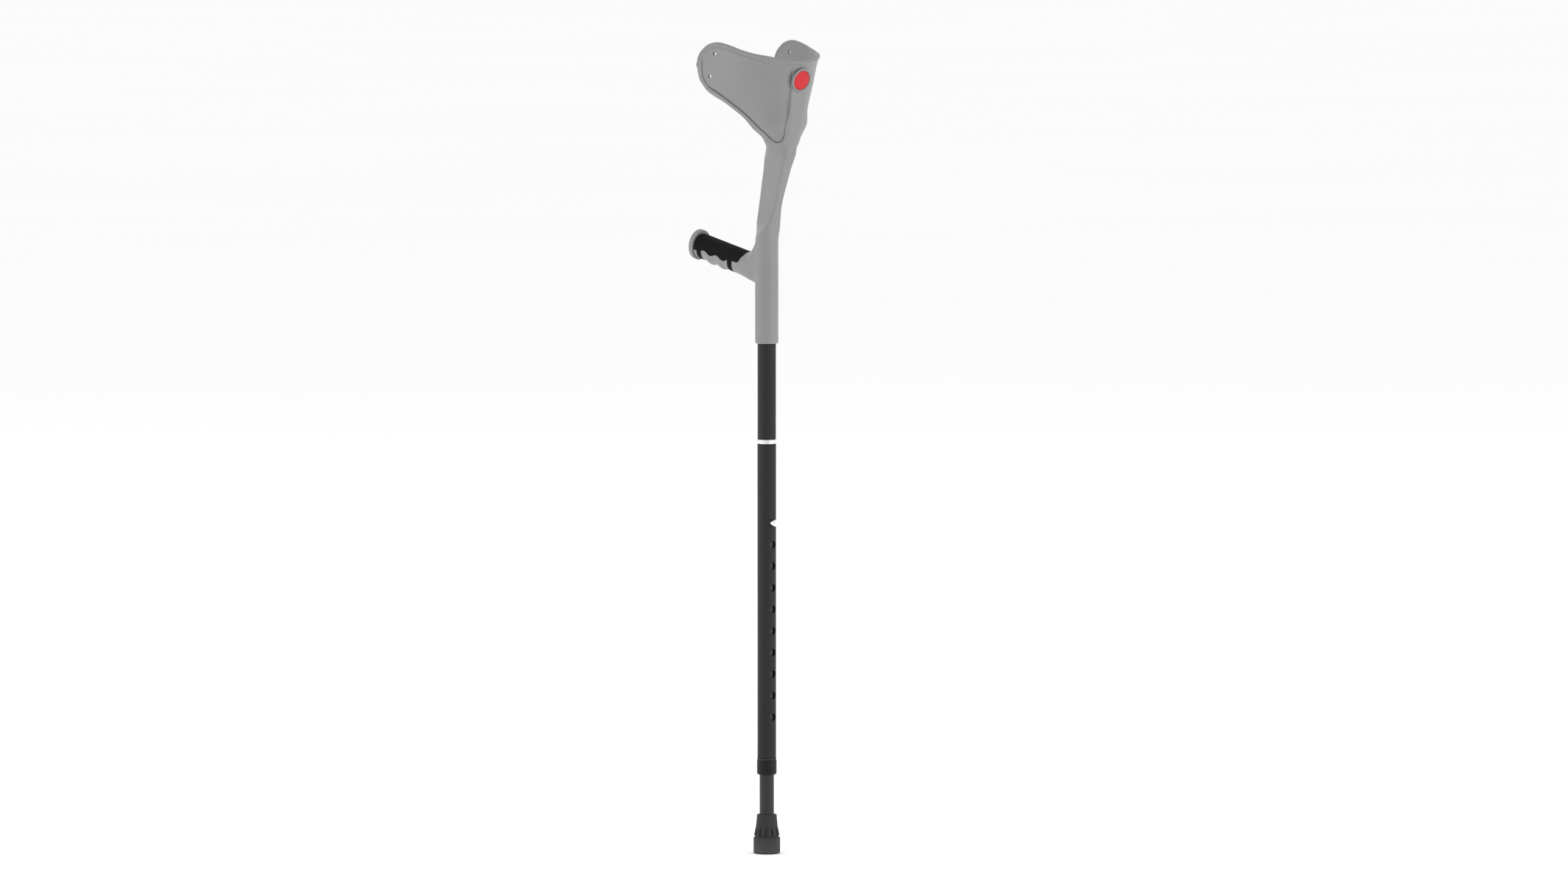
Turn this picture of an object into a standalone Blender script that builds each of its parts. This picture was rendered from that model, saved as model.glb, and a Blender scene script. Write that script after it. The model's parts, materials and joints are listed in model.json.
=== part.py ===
"""Forearm crutch: a one-piece moulded sleeve, handle, arm and cuff on a telescopic aluminium leg.

The origin is the centre of the ferrule's foot, +Z runs up the tubes and +X is the way the handle points.
Everything is in metres. The leg is modelled fully pushed in, with the snap button in the top hole.
"""

import math

import bmesh
import bpy
from mathutils import Matrix, Vector

MM = 0.001
TAU = 2.0 * math.pi

# Fits
GAP = 0.3 * MM
GUIDE_GAP = 0.15 * MM
ROUND_STEPS = 32
SMALL_STEPS = 16

# Tubes
WALL = 1.5 * MM
UPPER_TUBE_R = 10.8 * MM
MAIN_TUBE_R = 11.0 * MM
INNER_TUBE_R = 8.5 * MM

# Heights up the tube axis
WASHER_Z = 12.3 * MM
INNER_TUBE_Z = (14.1 * MM, 416.0 * MM)
FERRULE_TOP = 45.5 * MM
COLLAR_Z = (92.7 * MM, 109.3 * MM)
LIP_TOP = 112.2 * MM
RING_Z = (482.3 * MM, 487.1 * MM)
SLEEVE_BOTTOM = 599.8 * MM
UPPER_TUBE_TOP = 712.0 * MM
COUPLER_REACH = 32.0 * MM

# Height adjustment
HOLE_PITCH = 25.4 * MM
HOLE_COUNT = 10
HOLE_R = 4.5 * MM
TOP_HOLE_Z = 389.4 * MM
BUTTON_R = 4.2 * MM
BUTTON_TIP_X = -17.6 * MM
BUTTON_FLANGE_X = -4.6 * MM

# Ferrule
FERRULE_R = 15.75 * MM
FERRULE_BASE_TOP = 18.3 * MM
FERRULE_GROOVE_TOP = 20.6 * MM
RIB_TOP = 29.0 * MM
RIB_SLOTS = 12

# Moulding
SLEEVE_R = 13.7 * MM
SHEET = 4.0 * MM
LIP = 1.2 * MM
CUFF_FOOT = 830.0 * MM
CUFF_HEAD = 938.0 * MM
WING_HOLE_R = 2.25 * MM
WING_HOLES = ((24.2 * MM, 939.5 * MM), (34.2 * MM, 913.0 * MM))

# Rivets
RIVET_R = 1.6 * MM
RIVET_HEAD_R = 2.9 * MM
RIVET_HEAD = 1.1 * MM
RIVET_Z = (505.0 * MM, 464.0 * MM)
RIVET_REACH = 3.2 * MM
SLEEVE_RIVET_Z = 640.0 * MM
SLEEVE_RIVET_REACH = 4.2 * MM

# Handle, in its own frame: s runs out along the handle, n across it and upwards
HANDLE_Z = 683.0 * MM
HANDLE_TILT = math.radians(12.3)
HANDLE_END = 118.5 * MM
HANDLE_TOP = 16.2 * MM
HANDLE_HALF_WIDTH = 12.6 * MM
PAD = 2.4 * MM
FLANGE_THICK = 7.8 * MM
BAND_S = (53.2 * MM, 108.8 * MM)
BAND_HALF = 4.0 * MM
CORE_BORE_R = 6.5 * MM
CORE_BORE_DEPTH = 52.0 * MM
CORE_N = 1.0 * MM
FLANGE_RISE = 1.0 * MM

# Reflector
REFLECTOR_Z = 910.0 * MM
REFLECTOR_TILT = math.radians(15.5)
BEZEL_R = 14.0 * MM
LENS_R = 11.5 * MM
PEG_R = 3.0 * MM
PEG_LENGTH = 7.0 * MM


# ------------------------------------------------------------------ scene helpers

def clear_scene():
    for old in list(bpy.data.objects):
        bpy.data.objects.remove(old, do_unlink=True)


def collection(name):
    group = bpy.data.collections.new(name)
    bpy.context.scene.collection.children.link(group)
    return group


def material(name, colour, roughness, metallic=0.0):
    made = bpy.data.materials.new(name)
    made.use_nodes = True
    shader = made.node_tree.nodes["Principled BSDF"]
    shader.inputs["Base Color"].default_value = (*colour, 1.0)
    shader.inputs["Roughness"].default_value = roughness
    shader.inputs["Metallic"].default_value = metallic
    made.diffuse_color = (*colour, 1.0)
    return made


def add_object(name, mesh, group, finish=None):
    made = bpy.data.objects.new(name, mesh)
    group.objects.link(made)
    if finish:
        mesh.materials.append(finish)
    return made


def as_cutter(made):
    made.display_type = "WIRE"
    made.hide_render = True
    return made


def boolean(target, other, operation):
    step = target.modifiers.new(operation.lower(), "BOOLEAN")
    step.operation = operation
    step.solver = "EXACT"
    step.object = other
    as_cutter(other)


def turned(name, profile, group, finish=None, closed=True, steps=ROUND_STEPS):
    """A turned shape: the profile is (radius, height) pairs, down the outside first."""
    mesh = bpy.data.meshes.new(name)
    edges = [(i, i + 1) for i in range(len(profile) - 1)]
    if closed:
        edges.append((len(profile) - 1, 0))
    mesh.from_pydata([(r, 0.0, z) for r, z in profile], edges, [])
    made = add_object(name, mesh, group, finish)
    screw = made.modifiers.new("turn", "SCREW")
    screw.steps = steps
    screw.render_steps = steps
    screw.use_merge_vertices = True
    screw.merge_threshold = 0.00001
    screw.use_smooth_shade = True
    return made


def tube(name, radius, bore, low, high, group, finish):
    profile = [(radius, high), (radius, low), (bore, low), (bore, high)]
    return turned(name, profile, group, finish)


def facing(axis):
    """A turn that points +Z along an axis."""
    return Vector(axis).to_track_quat("Z", "Y").to_matrix().to_4x4()


def cylinder(name, radius, length, centre, axis, group, steps=SMALL_STEPS):
    """A plain cylinder centred on a point and lying along an axis."""
    mesh = bpy.data.meshes.new(name)
    shape = bmesh.new()
    bmesh.ops.create_cone(
        shape, cap_ends=True, segments=steps, radius1=radius, radius2=radius, depth=length
    )
    shape.to_mesh(mesh)
    shape.free()
    made = add_object(name, mesh, group)
    made.matrix_world = Matrix.Translation(centre) @ facing(axis)
    return made


def loft(name, rings, group, finish=None):
    """A closed body through a row of rings with the same number of points."""
    mesh = bpy.data.meshes.new(name)
    shape = bmesh.new()
    rows = [[shape.verts.new(point) for point in ring] for ring in rings]
    count = len(rings[0])
    for low, high in zip(rows, rows[1:]):
        for i in range(count):
            j = (i + 1) % count
            shape.faces.new((low[i], low[j], high[j], high[i]))
    shape.faces.new(rows[0])
    shape.faces.new(rows[-1])
    bmesh.ops.recalc_face_normals(shape, faces=shape.faces)
    shape.to_mesh(mesh)
    shape.free()
    mesh.shade_smooth()
    mesh.set_sharp_from_angle(angle=math.radians(35.0))
    return add_object(name, mesh, group, finish)


def plate(name, outline, thickness, group, finish=None):
    """A flat outline in X and Z, extruded equally to both sides of Y = 0."""
    curve = bpy.data.curves.new(name, "CURVE")
    curve.dimensions = "2D"
    curve.fill_mode = "BOTH"
    curve.extrude = thickness / 2.0
    spline = curve.splines.new("POLY")
    spline.points.add(len(outline) - 1)
    for point, (x, z) in zip(spline.points, outline):
        point.co = (x, z, 0.0, 1.0)
    spline.use_cyclic_u = True
    source = bpy.data.objects.new(name + "_outline", curve)
    group.objects.link(source)
    source.matrix_world = Matrix.Rotation(math.radians(90.0), 4, "X")
    bpy.context.view_layer.update()
    evaluated = source.evaluated_get(bpy.context.evaluated_depsgraph_get())
    mesh = bpy.data.meshes.new_from_object(evaluated)
    shape = bmesh.new()
    shape.from_mesh(mesh)
    bmesh.ops.remove_doubles(shape, verts=shape.verts, dist=0.00001)
    bmesh.ops.recalc_face_normals(shape, faces=shape.faces)
    shape.to_mesh(mesh)
    shape.free()
    made = add_object(name, mesh, group, finish)
    made.matrix_world = source.matrix_world
    bpy.data.objects.remove(source, do_unlink=True)
    return made


# ------------------------------------------------------------------ curves and sections

def smooth(value):
    value = min(1.0, max(0.0, value))
    return value * value * (3.0 - 2.0 * value)


def through(stations, at):
    """Values at one place along a smooth curve through stations, sorted by their first number."""
    last = len(stations) - 1
    i = 0
    while i < last - 1 and at > stations[i + 1][0]:
        i += 1
    low, high = stations[i], stations[i + 1]
    before, after = stations[max(i - 1, 0)], stations[min(i + 2, last)]
    span = high[0] - low[0]
    f = min(1.0, max(0.0, (at - low[0]) / span))
    values = []
    for a, b, c, d in zip(before[1:], low[1:], high[1:], after[1:]):
        start = (c - a) / max(high[0] - before[0], span) * span
        end = (d - b) / max(after[0] - low[0], span) * span
        values.append(
            (2 * f**3 - 3 * f**2 + 1) * b
            + (f**3 - 2 * f**2 + f) * start
            + (3 * f**2 - 2 * f**3) * c
            + (f**3 - f**2) * end
        )
    return values


def straight(stations, at):
    """Values at one place along straight lines through stations."""
    for low, high in zip(stations, stations[1:]):
        if at <= high[0]:
            f = (at - low[0]) / (high[0] - low[0])
            return [a + (b - a) * f for a, b in zip(low[1:], high[1:])]
    return list(stations[-1][1:])


def squircle(half_x, half_y, power, count):
    """Points round a superellipse, from power 2, an ellipse, towards a rounded box."""
    points = []
    for i in range(count):
        c = math.cos(TAU * i / count)
        s = math.sin(TAU * i / count)
        points.append((
            half_x * math.copysign(abs(c) ** (2.0 / power), c),
            half_y * math.copysign(abs(s) ** (2.0 / power), s),
        ))
    return points


# ------------------------------------------------------------------ cuff surface

def cuff_blend(z):
    return min(1.05, max(0.0, (z - CUFF_FOOT) / (CUFF_HEAD - CUFF_FOOT)))


# Middle surface of the cuff: four control points of a half section at its foot and at its head, in mm
CUFF_FOOT_POINTS = ((-41.5, 0.0), (-41.5, 13.2), (-30.0, 13.0), (-6.0, 12.5))
CUFF_HEAD_POINTS = ((-59.8, 0.0), (-59.8, 49.0), (-24.0, 57.0), (52.5, 60.5))

# Outline of the cuff: place round it (0 at the back, 1 at a wing's end) and height in mm
CUFF_LOW_EDGE = (
    (0.0, 829.0),
    (0.5, 830.5),
    (0.66, 829.5),
    (0.705, 831.5),
    (0.725, 840.0),
    (0.746, 856.0),
    (0.769, 864.0),
    (0.824, 873.0),
    (0.877, 881.5),
    (0.948, 889.7),
    (0.985, 896.3),
    (1.0, 904.5),
)
CUFF_HIGH_EDGE = (
    (0.0, 931.5),
    (0.15, 933.0),
    (0.3, 937.0),
    (0.5, 941.0),
    (0.63, 945.0),
    (0.76, 950.8),
    (0.85, 953.2),
    (0.92, 950.2),
    (0.97, 942.5),
    (0.99, 936.0),
    (1.0, 929.0),
)
CUFF_BULGE_Z = 855.0 * MM


def cuff_point(t, z, offset=0.0):
    """A point of the cuff: t runs from the back (0) to a wing's front end (1 or -1)."""
    w = cuff_blend(z)
    left = max(0.0, 1.0 - w)
    bulge = 0.35 * math.exp(-((z - CUFF_BULGE_Z) / (13.5 * MM)) ** 2)
    push = 2.2 * math.exp(-((z - CUFF_BULGE_Z - 5.0 * MM) / (14.0 * MM)) ** 2)
    quick = 1.0 - left**2.3
    mix = (1.0 - left**1.25, w + bulge, quick, quick)
    control = [
        (a[0] + (b[0] - a[0]) * k, a[1] + (b[1] - a[1]) * k)
        for a, b, k in zip(CUFF_FOOT_POINTS, CUFF_HEAD_POINTS, mix)
    ]
    control[0] = (control[0][0] - push, 0.0)
    control[1] = (control[0][0], control[1][1])
    u = abs(t)
    weights = ((1 - u) ** 3, 3 * (1 - u) ** 2 * u, 3 * (1 - u) * u * u, u**3)
    x = sum(k * p[0] for k, p in zip(weights, control))
    y = sum(k * p[1] for k, p in zip(weights, control))
    slopes = ((1 - u) ** 2, 2 * (1 - u) * u, u * u)
    steps = [(b[0] - a[0], b[1] - a[1]) for a, b in zip(control, control[1:])]
    dx = sum(k * p[0] for k, p in zip(slopes, steps))
    dy = sum(k * p[1] for k, p in zip(slopes, steps))
    size = math.hypot(dx, dy)
    side = math.copysign(1.0, t) if t else 1.0
    return Vector((
        x * MM - offset * dy / size,
        side * (y * MM + offset * dx / size),
        z,
    ))


def cuff_column(t, trim=0.0, fullness=1.0, fractions=(0.2, 0.4, 0.6)):
    """The section of the cuff's sheet at t, as a closed ring with rounded edges."""
    low = through(CUFF_LOW_EDGE, abs(t))[0] * MM + trim
    high = through(CUFF_HIGH_EDGE, abs(t))[0] * MM - trim
    height = high - low
    heights = [low + 0.5 * MM, low + 2.0 * MM]
    heights += [low + height * f for f in fractions]
    heights += [high - 5.5 * MM, high - 4.0 * MM, high - 1.2 * MM]
    bead = [0.0] * (len(heights) - 2) + [LIP, LIP * 0.7]
    swell = [0.72] + [1.0] * (len(heights) - 2) + [0.8]
    half = SHEET / 2.0 * fullness
    outer = [cuff_point(t, z, half * k + lip) for z, k, lip in zip(heights, swell, bead)]
    inner = [cuff_point(t, z, -half * k) for z, k in zip(heights, swell)]
    return [cuff_point(t, low)] + outer + [cuff_point(t, high)] + inner[::-1]


def cuff_rings():
    """Columns of the cuff from one wing's end to the other, closer where its outline turns."""
    places = []
    for start, end, steps in ((0.0, 0.66, 8), (0.66, 0.80, 6), (0.80, 0.94, 4), (0.94, 1.0, 4)):
        places += [start + (end - start) * i / steps for i in range(steps)]
    half = [cuff_column(t) for t in places]
    half += [cuff_column(1.0), cuff_column(1.008, 1.5 * MM, 0.7)]
    other = [[Vector((p.x, -p.y, p.z)) for p in ring] for ring in half[1:]]
    return other[::-1] + half


# ------------------------------------------------------------------ arm, spine and neck

# Sleeve and arm: height, centre x, half depth, half width, squareness, in mm
ARM = (
    (599.8, 0.0, 12.8, 12.8, 2.0),
    (603.0, 0.0, 13.7, 13.7, 2.0),
    (717.0, 0.0, 13.7, 13.7, 2.0),
    (728.0, -0.2, 14.1, 11.9, 2.4),
    (738.0, -0.9, 14.5, 8.8, 3.2),
    (748.0, -3.3, 15.2, 7.2, 4.0),
    (769.0, -8.3, 15.9, 6.7, 4.0),
    (787.0, -13.3, 17.0, 7.6, 4.0),
    (804.0, -18.4, 17.9, 8.9, 4.0),
    (821.0, -23.5, 19.7, 10.9, 3.8),
    (832.0, -25.4, 19.6, 11.8, 3.2),
    (846.0, -26.0, 19.0, 12.6, 2.8),
)
ARM_LEVELS = (599.8, 603.0, 655.0)

# Spine: height, outer face x, half width, in mm
SPINE = (
    (812.0, -35.4, 6.6),
    (830.0, -43.2, 8.2),
    (840.0, -46.4, 9.4),
    (850.0, -50.2, 10.9),
    (862.0, -52.7, 11.4),
    (873.0, -55.0, 12.0),
    (892.0, -57.0, 12.2),
    (910.0, -59.2, 11.8),
    (930.0, -61.8, 11.6),
)
SPINE_DEPTH = 6.0 * MM


def arm_rings(levels, count):
    rings = []
    low, high = ARM[2][0], ARM[-1][0]
    heights = list(ARM_LEVELS) + [low + (high - low) * i / levels for i in range(levels + 1)]
    for z in heights:
        centre, half_x, half_y, power = through(ARM, z) if z > low else straight(ARM, z)
        rings.append([
            Vector(((centre + x) * MM, y * MM, z * MM))
            for x, y in squircle(half_x, half_y, power, count)
        ])
    return rings


def spine_face(z):
    return through(SPINE, z / MM)[0] * MM


def spine_rings(levels, count):
    rings = []
    low, high = SPINE[0][0], SPINE[-1][0]
    for i in range(levels + 1):
        z = low + (high - low) * i / levels
        face, half_y = through(SPINE, z)
        depth = SPINE_DEPTH / 2.0
        rings.append([
            Vector((face * MM + depth + x, y, z * MM))
            for x, y in squircle(depth, half_y * MM, 3.2, count)
        ])
    return rings


def neck_rings(levels, count):
    """Solid bottom of the cuff's funnel: it fills the section behind a sloping front."""
    rings = []
    low, high = 828.0 * MM, 880.0 * MM
    for i in range(levels + 1):
        z = low + (high - low) * i / levels
        reach = 0.76 - 0.68 * smooth((z - 832.0 * MM) / (50.0 * MM))
        rings.append([cuff_point(reach * (2.0 * k / count - 1.0), z) for k in range(count + 1)])
    return rings


# ------------------------------------------------------------------ handle

def handle_world():
    return Matrix.Translation((0.0, 0.0, HANDLE_Z)) @ Matrix.Rotation(-HANDLE_TILT, 4, "Y")


# Underside of the handle: s, n, in mm. The finger bumps are added to it
HANDLE_UNDERSIDE = (
    (-6.0, -18.5),
    (18.0, -16.2),
    (40.0, -13.6),
    (57.0, -13.4),
    (81.0, -13.9),
    (101.0, -13.2),
    (119.0, -12.6),
)
BUMP_PITCH = 21.0
BUMP_AT = 71.0
BUMP_HEIGHT = 1.3


def handle_section(s, inset, count):
    """Oval across the handle at s, drawn in by inset."""
    s_mm = s / MM
    under = through(HANDLE_UNDERSIDE, s_mm)[0]
    fade = smooth((s_mm - 57.0) / 6.0) * smooth((107.0 - s_mm) / 6.0)
    under -= BUMP_HEIGHT * fade * math.cos(TAU * (s_mm - BUMP_AT) / BUMP_PITCH)
    root = min(1.0, max(0.0, (34.0 - s_mm) / 14.0))
    top = HANDLE_TOP / MM + 14.0 * root * root
    half_n = (top - under) / 2.0 * MM - inset
    half_y = HANDLE_HALF_WIDTH - 0.4 * MM * root - inset
    centre = (top + under) / 2.0 * MM
    return [Vector((s, y, centre + n)) for n, y in squircle(half_n, half_y, 2.25, count)]


def handle_body(name, inset, start, end, stations, count, group):
    rings = [
        handle_section(start + (end - start) * i / stations, inset, count)
        for i in range(stations + 1)
    ]
    made = loft(name, rings, group)
    made.data.transform(handle_world())
    return made


def pad_outline(grow):
    """Side view of the pad: a scalloped lower edge and two bands that reach round underneath."""
    start = 33.6 * MM - grow
    end = HANDLE_END - GAP + 8.0 * grow
    below = -32.0 * MM
    points = [
        (start, 32.0 * MM),
        (start, 13.2 * MM),
        (35.6 * MM - grow, 9.6 * MM),
        (37.4 * MM - grow, 4.8 * MM),
        (40.6 * MM - grow, 2.2 * MM - grow),
    ]
    for i, band in enumerate(BAND_S):
        first = BAND_S[0] + BAND_HALF + grow
        last = band - BAND_HALF - grow
        for k in range(15 if i else 0):
            s = first + (last - first) * k / 14
            points.append((s, scallop(s) - grow))
        if i == 0:
            points.append((last, 1.6 * MM - grow))
        points.append((band - BAND_HALF - grow, below))
        points.append((band + BAND_HALF + grow, below))
    points.append((BAND_S[1] + BAND_HALF + grow, scallop(BAND_S[1]) - grow))
    points.append((end, scallop(BAND_S[1]) - grow))
    points.append((end, 32.0 * MM))
    return points


def scallop(s):
    """Lower edge of the pad along the handle."""
    return (-0.9 - 1.7 * math.cos(TAU * (s / MM - 66.0) / 22.5)) * MM


def pad_zone(name, grow, group):
    made = plate(name, pad_outline(grow), 60.0 * MM, group)
    made.matrix_world = handle_world() @ made.matrix_world
    return made


# ------------------------------------------------------------------ pieces

def build_moulding(parts, cutters, finish):
    """Sleeve, handle core, arm and cuff, moulded as one piece."""
    body = loft("upper_moulding", arm_rings(18, 28), parts, finish)
    handle = handle_body("handle_core", 0.0, 2.0 * MM, HANDLE_END, 28, 24, cutters)
    cuff = loft("cuff_sheet", cuff_rings(), cutters)
    spine = loft("cuff_spine", spine_rings(10, 16), cutters)
    neck = loft("cuff_neck", neck_rings(9, 14), cutters)
    for other in (handle, cuff, spine, neck):
        boolean(body, other, "UNION")

    bore = cylinder(
        "tube_socket",
        UPPER_TUBE_R + GAP,
        UPPER_TUBE_TOP + GAP - SLEEVE_BOTTOM + 2.0 * MM,
        (0.0, 0.0, (UPPER_TUBE_TOP + GAP + SLEEVE_BOTTOM - 2.0 * MM) / 2.0),
        (0.0, 0.0, 1.0),
        cutters,
        ROUND_STEPS,
    )
    pad_end = HANDLE_END + 4.0 * MM
    floor_end = HANDLE_END + 9.0 * MM
    pad_space = handle_body("pad_space", -1.5 * MM, 8.0 * MM, pad_end, 24, 24, cutters)
    pad_floor = handle_body("pad_floor", PAD + GAP, 2.0 * MM, floor_end, 24, 24, cutters)
    boolean(pad_space, pad_zone("pad_space_side_view", GAP, cutters), "INTERSECT")
    boolean(pad_space, pad_floor, "DIFFERENCE")
    core_hollow = cylinder(
        "core_hollow",
        CORE_BORE_R,
        2.0 * CORE_BORE_DEPTH,
        handle_world() @ Vector((HANDLE_END, 0.0, CORE_N)),
        handle_world().to_3x3() @ Vector((1.0, 0.0, 0.0)),
        cutters,
    )
    rivet_hole = cylinder(
        "sleeve_rivet_hole",
        RIVET_R + 0.7 * MM,
        12.0 * MM,
        (0.0, -12.0 * MM, SLEEVE_RIVET_Z),
        (0.0, -1.0, 0.0),
        cutters,
    )
    place = reflector_frame()
    outward = place.to_3x3() @ Vector((0.0, 0.0, 1.0))
    peg_hole = cylinder(
        "reflector_peg_hole", PEG_R + GAP, 30.0 * MM, place.translation, outward, cutters
    )
    seat = cylinder(
        "reflector_seat",
        BEZEL_R + GAP,
        12.0 * MM,
        place @ Vector((0.0, 0.0, 5.8 * MM)),
        outward,
        cutters,
        ROUND_STEPS,
    )
    for other in (bore, pad_space, core_hollow, rivet_hole, peg_hole, seat):
        boolean(body, other, "DIFFERENCE")
    for x, z in WING_HOLES:
        for side in (1.0, -1.0):
            t = wing_place(x, z)
            point = cuff_point(side * t, z)
            normal = cuff_point(side * t, z, SHEET) - point
            hole = cylinder("wing_hole", WING_HOLE_R, 3.0 * SHEET, point, normal, cutters, 16)
            boolean(body, hole, "DIFFERENCE")
    return body


def wing_place(x, z):
    """The cuff's t at which its middle surface passes x, at height z."""
    low, high = 0.5, 1.0
    for _ in range(30):
        middle = (low + high) / 2.0
        if cuff_point(middle, z).x < x:
            low = middle
        else:
            high = middle
    return (low + high) / 2.0


def build_grip(parts, cutters, finish):
    """Soft pad over the top of the handle, with two bands round its underside."""
    pad = handle_body("grip_pad", 0.0, 8.0 * MM, HANDLE_END + 4.0 * MM, 24, 24, parts)
    pad.data.materials.append(finish)
    inside = handle_body("pad_inside", PAD, 2.0 * MM, HANDLE_END + 9.0 * MM, 24, 24, cutters)
    boolean(pad, pad_zone("pad_side_view", 0.0, cutters), "INTERSECT")
    boolean(pad, inside, "DIFFERENCE")
    return pad


def build_end_cap(parts, finish):
    """Flange at the outer end of the handle, with a plug that fills the core's mouth."""
    start = HANDLE_END + GAP
    plug_r = CORE_BORE_R - GAP
    stations = (
        (start - 10.0 * MM, plug_r - 0.6 * MM, plug_r - 0.6 * MM),
        (start - 9.0 * MM, plug_r, plug_r),
        (start, plug_r, plug_r),
        (start, 16.7 * MM, 12.9 * MM),
        (start + 1.0 * MM, 17.6 * MM, 13.8 * MM),
        (start + 5.6 * MM, 17.6 * MM, 13.8 * MM),
        (start + 7.2 * MM, 16.4 * MM, 12.6 * MM),
        (start + FLANGE_THICK, 14.0 * MM, 10.4 * MM),
    )
    rings = []
    for s, half_n, half_y in stations:
        rise = CORE_N + (FLANGE_RISE if half_n > CORE_BORE_R else 0.0)
        rings.append([Vector((s, y, rise + n)) for n, y in squircle(half_n, half_y, 2.0, 32)])
    cap = loft("handle_end_cap", rings, parts, finish)
    cap.data.transform(handle_world())
    return cap


def build_upper_tube(parts, cutters, finish):
    piece = tube(
        "upper_tube", UPPER_TUBE_R, UPPER_TUBE_R - WALL, RING_Z[1] + GAP, UPPER_TUBE_TOP, parts, finish
    )
    boolean(piece, rivet_bore(1.0, 0.0, RIVET_Z[0], cutters), "DIFFERENCE")
    boolean(piece, rivet_bore(0.0, -1.0, SLEEVE_RIVET_Z, cutters), "DIFFERENCE")
    return piece


def build_main_tube(parts, cutters, finish):
    piece = tube(
        "main_tube", MAIN_TUBE_R, MAIN_TUBE_R - WALL, LIP_TOP + GAP, RING_Z[0] - GAP, parts, finish
    )
    boolean(piece, rivet_bore(1.0, 0.0, RIVET_Z[1], cutters), "DIFFERENCE")
    for i in range(HOLE_COUNT):
        centre = (-MAIN_TUBE_R, 0.0, TOP_HOLE_Z - i * HOLE_PITCH)
        hole = cylinder("height_hole", HOLE_R, 12.0 * MM, centre, (1.0, 0.0, 0.0), cutters, 16)
        boolean(piece, hole, "DIFFERENCE")
    return piece


def build_joint_ring(parts, finish):
    low, high = RING_Z
    middle = (low + high) / 2.0
    outer = MAIN_TUBE_R
    bore = UPPER_TUBE_R - WALL + GAP
    profile = [
        (outer - 0.3 * MM, high),
        (outer, high - 0.3 * MM),
        (outer, middle + 0.5 * MM),
        (outer - 0.35 * MM, middle),
        (outer, middle - 0.5 * MM),
        (outer, low + 0.3 * MM),
        (outer - 0.3 * MM, low),
        (bore, low),
        (bore, high),
    ]
    return turned("joint_ring", profile, parts, finish)


def build_coupler(parts, cutters, finish):
    """Spigot inside both tubes, thicker in the wider lower one."""
    low = RING_Z[0] - COUPLER_REACH
    high = RING_Z[1] + COUPLER_REACH
    lower_r = MAIN_TUBE_R - WALL - GAP
    upper_r = UPPER_TUBE_R - WALL - GAP
    bore = 7.2 * MM
    step = RING_Z[0] - GAP
    profile = [
        (upper_r - 0.6 * MM, high),
        (upper_r, high - 1.0 * MM),
        (upper_r, step),
        (lower_r, step),
        (lower_r, low + 1.0 * MM),
        (lower_r - 0.6 * MM, low),
        (bore, low),
        (bore, high),
    ]
    piece = turned("tube_coupler", profile, parts, finish)
    for z in RIVET_Z:
        boolean(piece, rivet_bore(1.0, 0.0, z, cutters), "DIFFERENCE")
    return piece


def rivet_bore(x, y, z, cutters):
    centre = (x * 12.0 * MM, y * 12.0 * MM, z)
    return cylinder("rivet_bore", RIVET_R + GAP, 24.0 * MM, centre, (x, y, 0.0), cutters)


def build_rivet(name, x, y, z, surface_r, reach, parts, finish):
    """Dome-headed rivet whose head sits on a surface and whose shank reaches inwards."""
    profile = [(0.0, RIVET_HEAD)]
    arc = 4
    for i in range(1, arc + 1):
        angle = math.pi / 2.0 * i / arc
        profile.append((RIVET_HEAD_R * math.sin(angle), RIVET_HEAD * math.cos(angle)))
    profile += [(RIVET_R, 0.0), (RIVET_R, -reach), (0.0, -reach)]
    piece = turned(name, profile, parts, finish, closed=False, steps=SMALL_STEPS)
    outward = Vector((x, y, 0.0))
    place = outward * (surface_r + GAP) + Vector((0.0, 0.0, z))
    piece.matrix_world = Matrix.Translation(place) @ facing(outward)
    return piece


def build_guide_bush(parts, finish):
    """Bush pressed into the main tube's foot; its lip shows below the tube."""
    outer = MAIN_TUBE_R - WALL - GUIDE_GAP
    bore = INNER_TUBE_R + GUIDE_GAP
    lip = 11.3 * MM
    low = COLLAR_Z[0] + 7.3 * MM
    profile = [
        (outer - 0.2 * MM, LIP_TOP + 23.0 * MM),
        (outer, LIP_TOP + 22.0 * MM),
        (outer, LIP_TOP),
        (lip - 0.3 * MM, LIP_TOP),
        (lip, LIP_TOP - 0.4 * MM),
        (lip, COLLAR_Z[1] + GAP),
        (outer + 0.6 * MM, COLLAR_Z[1] + GAP),
        (outer + 0.6 * MM, low),
        (bore, low),
        (bore, LIP_TOP + 23.0 * MM),
    ]
    return turned("guide_bush", profile, parts, finish)


def build_collar(parts, finish):
    """Black end collar that covers the bush's skirt."""
    low, high = COLLAR_Z
    outer = 11.6 * MM
    bore = INNER_TUBE_R + GAP
    skirt = MAIN_TUBE_R - WALL - GUIDE_GAP + 0.6 * MM + GAP
    radius = 2.2 * MM
    profile = [(outer, high)]
    arc = 4
    for i in range(arc + 1):
        angle = math.pi / 2.0 * i / arc
        profile.append((
            outer - radius + radius * math.cos(angle),
            low + radius - radius * math.sin(angle),
        ))
    profile += [(bore, low), (bore, low + 7.0 * MM), (skirt, low + 7.0 * MM), (skirt, high)]
    return turned("end_collar", profile, parts, finish)


def build_inner_tube(parts, cutters, finish):
    low, high = INNER_TUBE_Z
    piece = tube("inner_tube", INNER_TUBE_R, INNER_TUBE_R - WALL, low, high, parts, finish)
    centre = (-INNER_TUBE_R, 0.0, TOP_HOLE_Z)
    hole = cylinder("button_hole", HOLE_R, 8.0 * MM, centre, (1.0, 0.0, 0.0), cutters, 16)
    boolean(piece, hole, "DIFFERENCE")
    return piece


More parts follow.
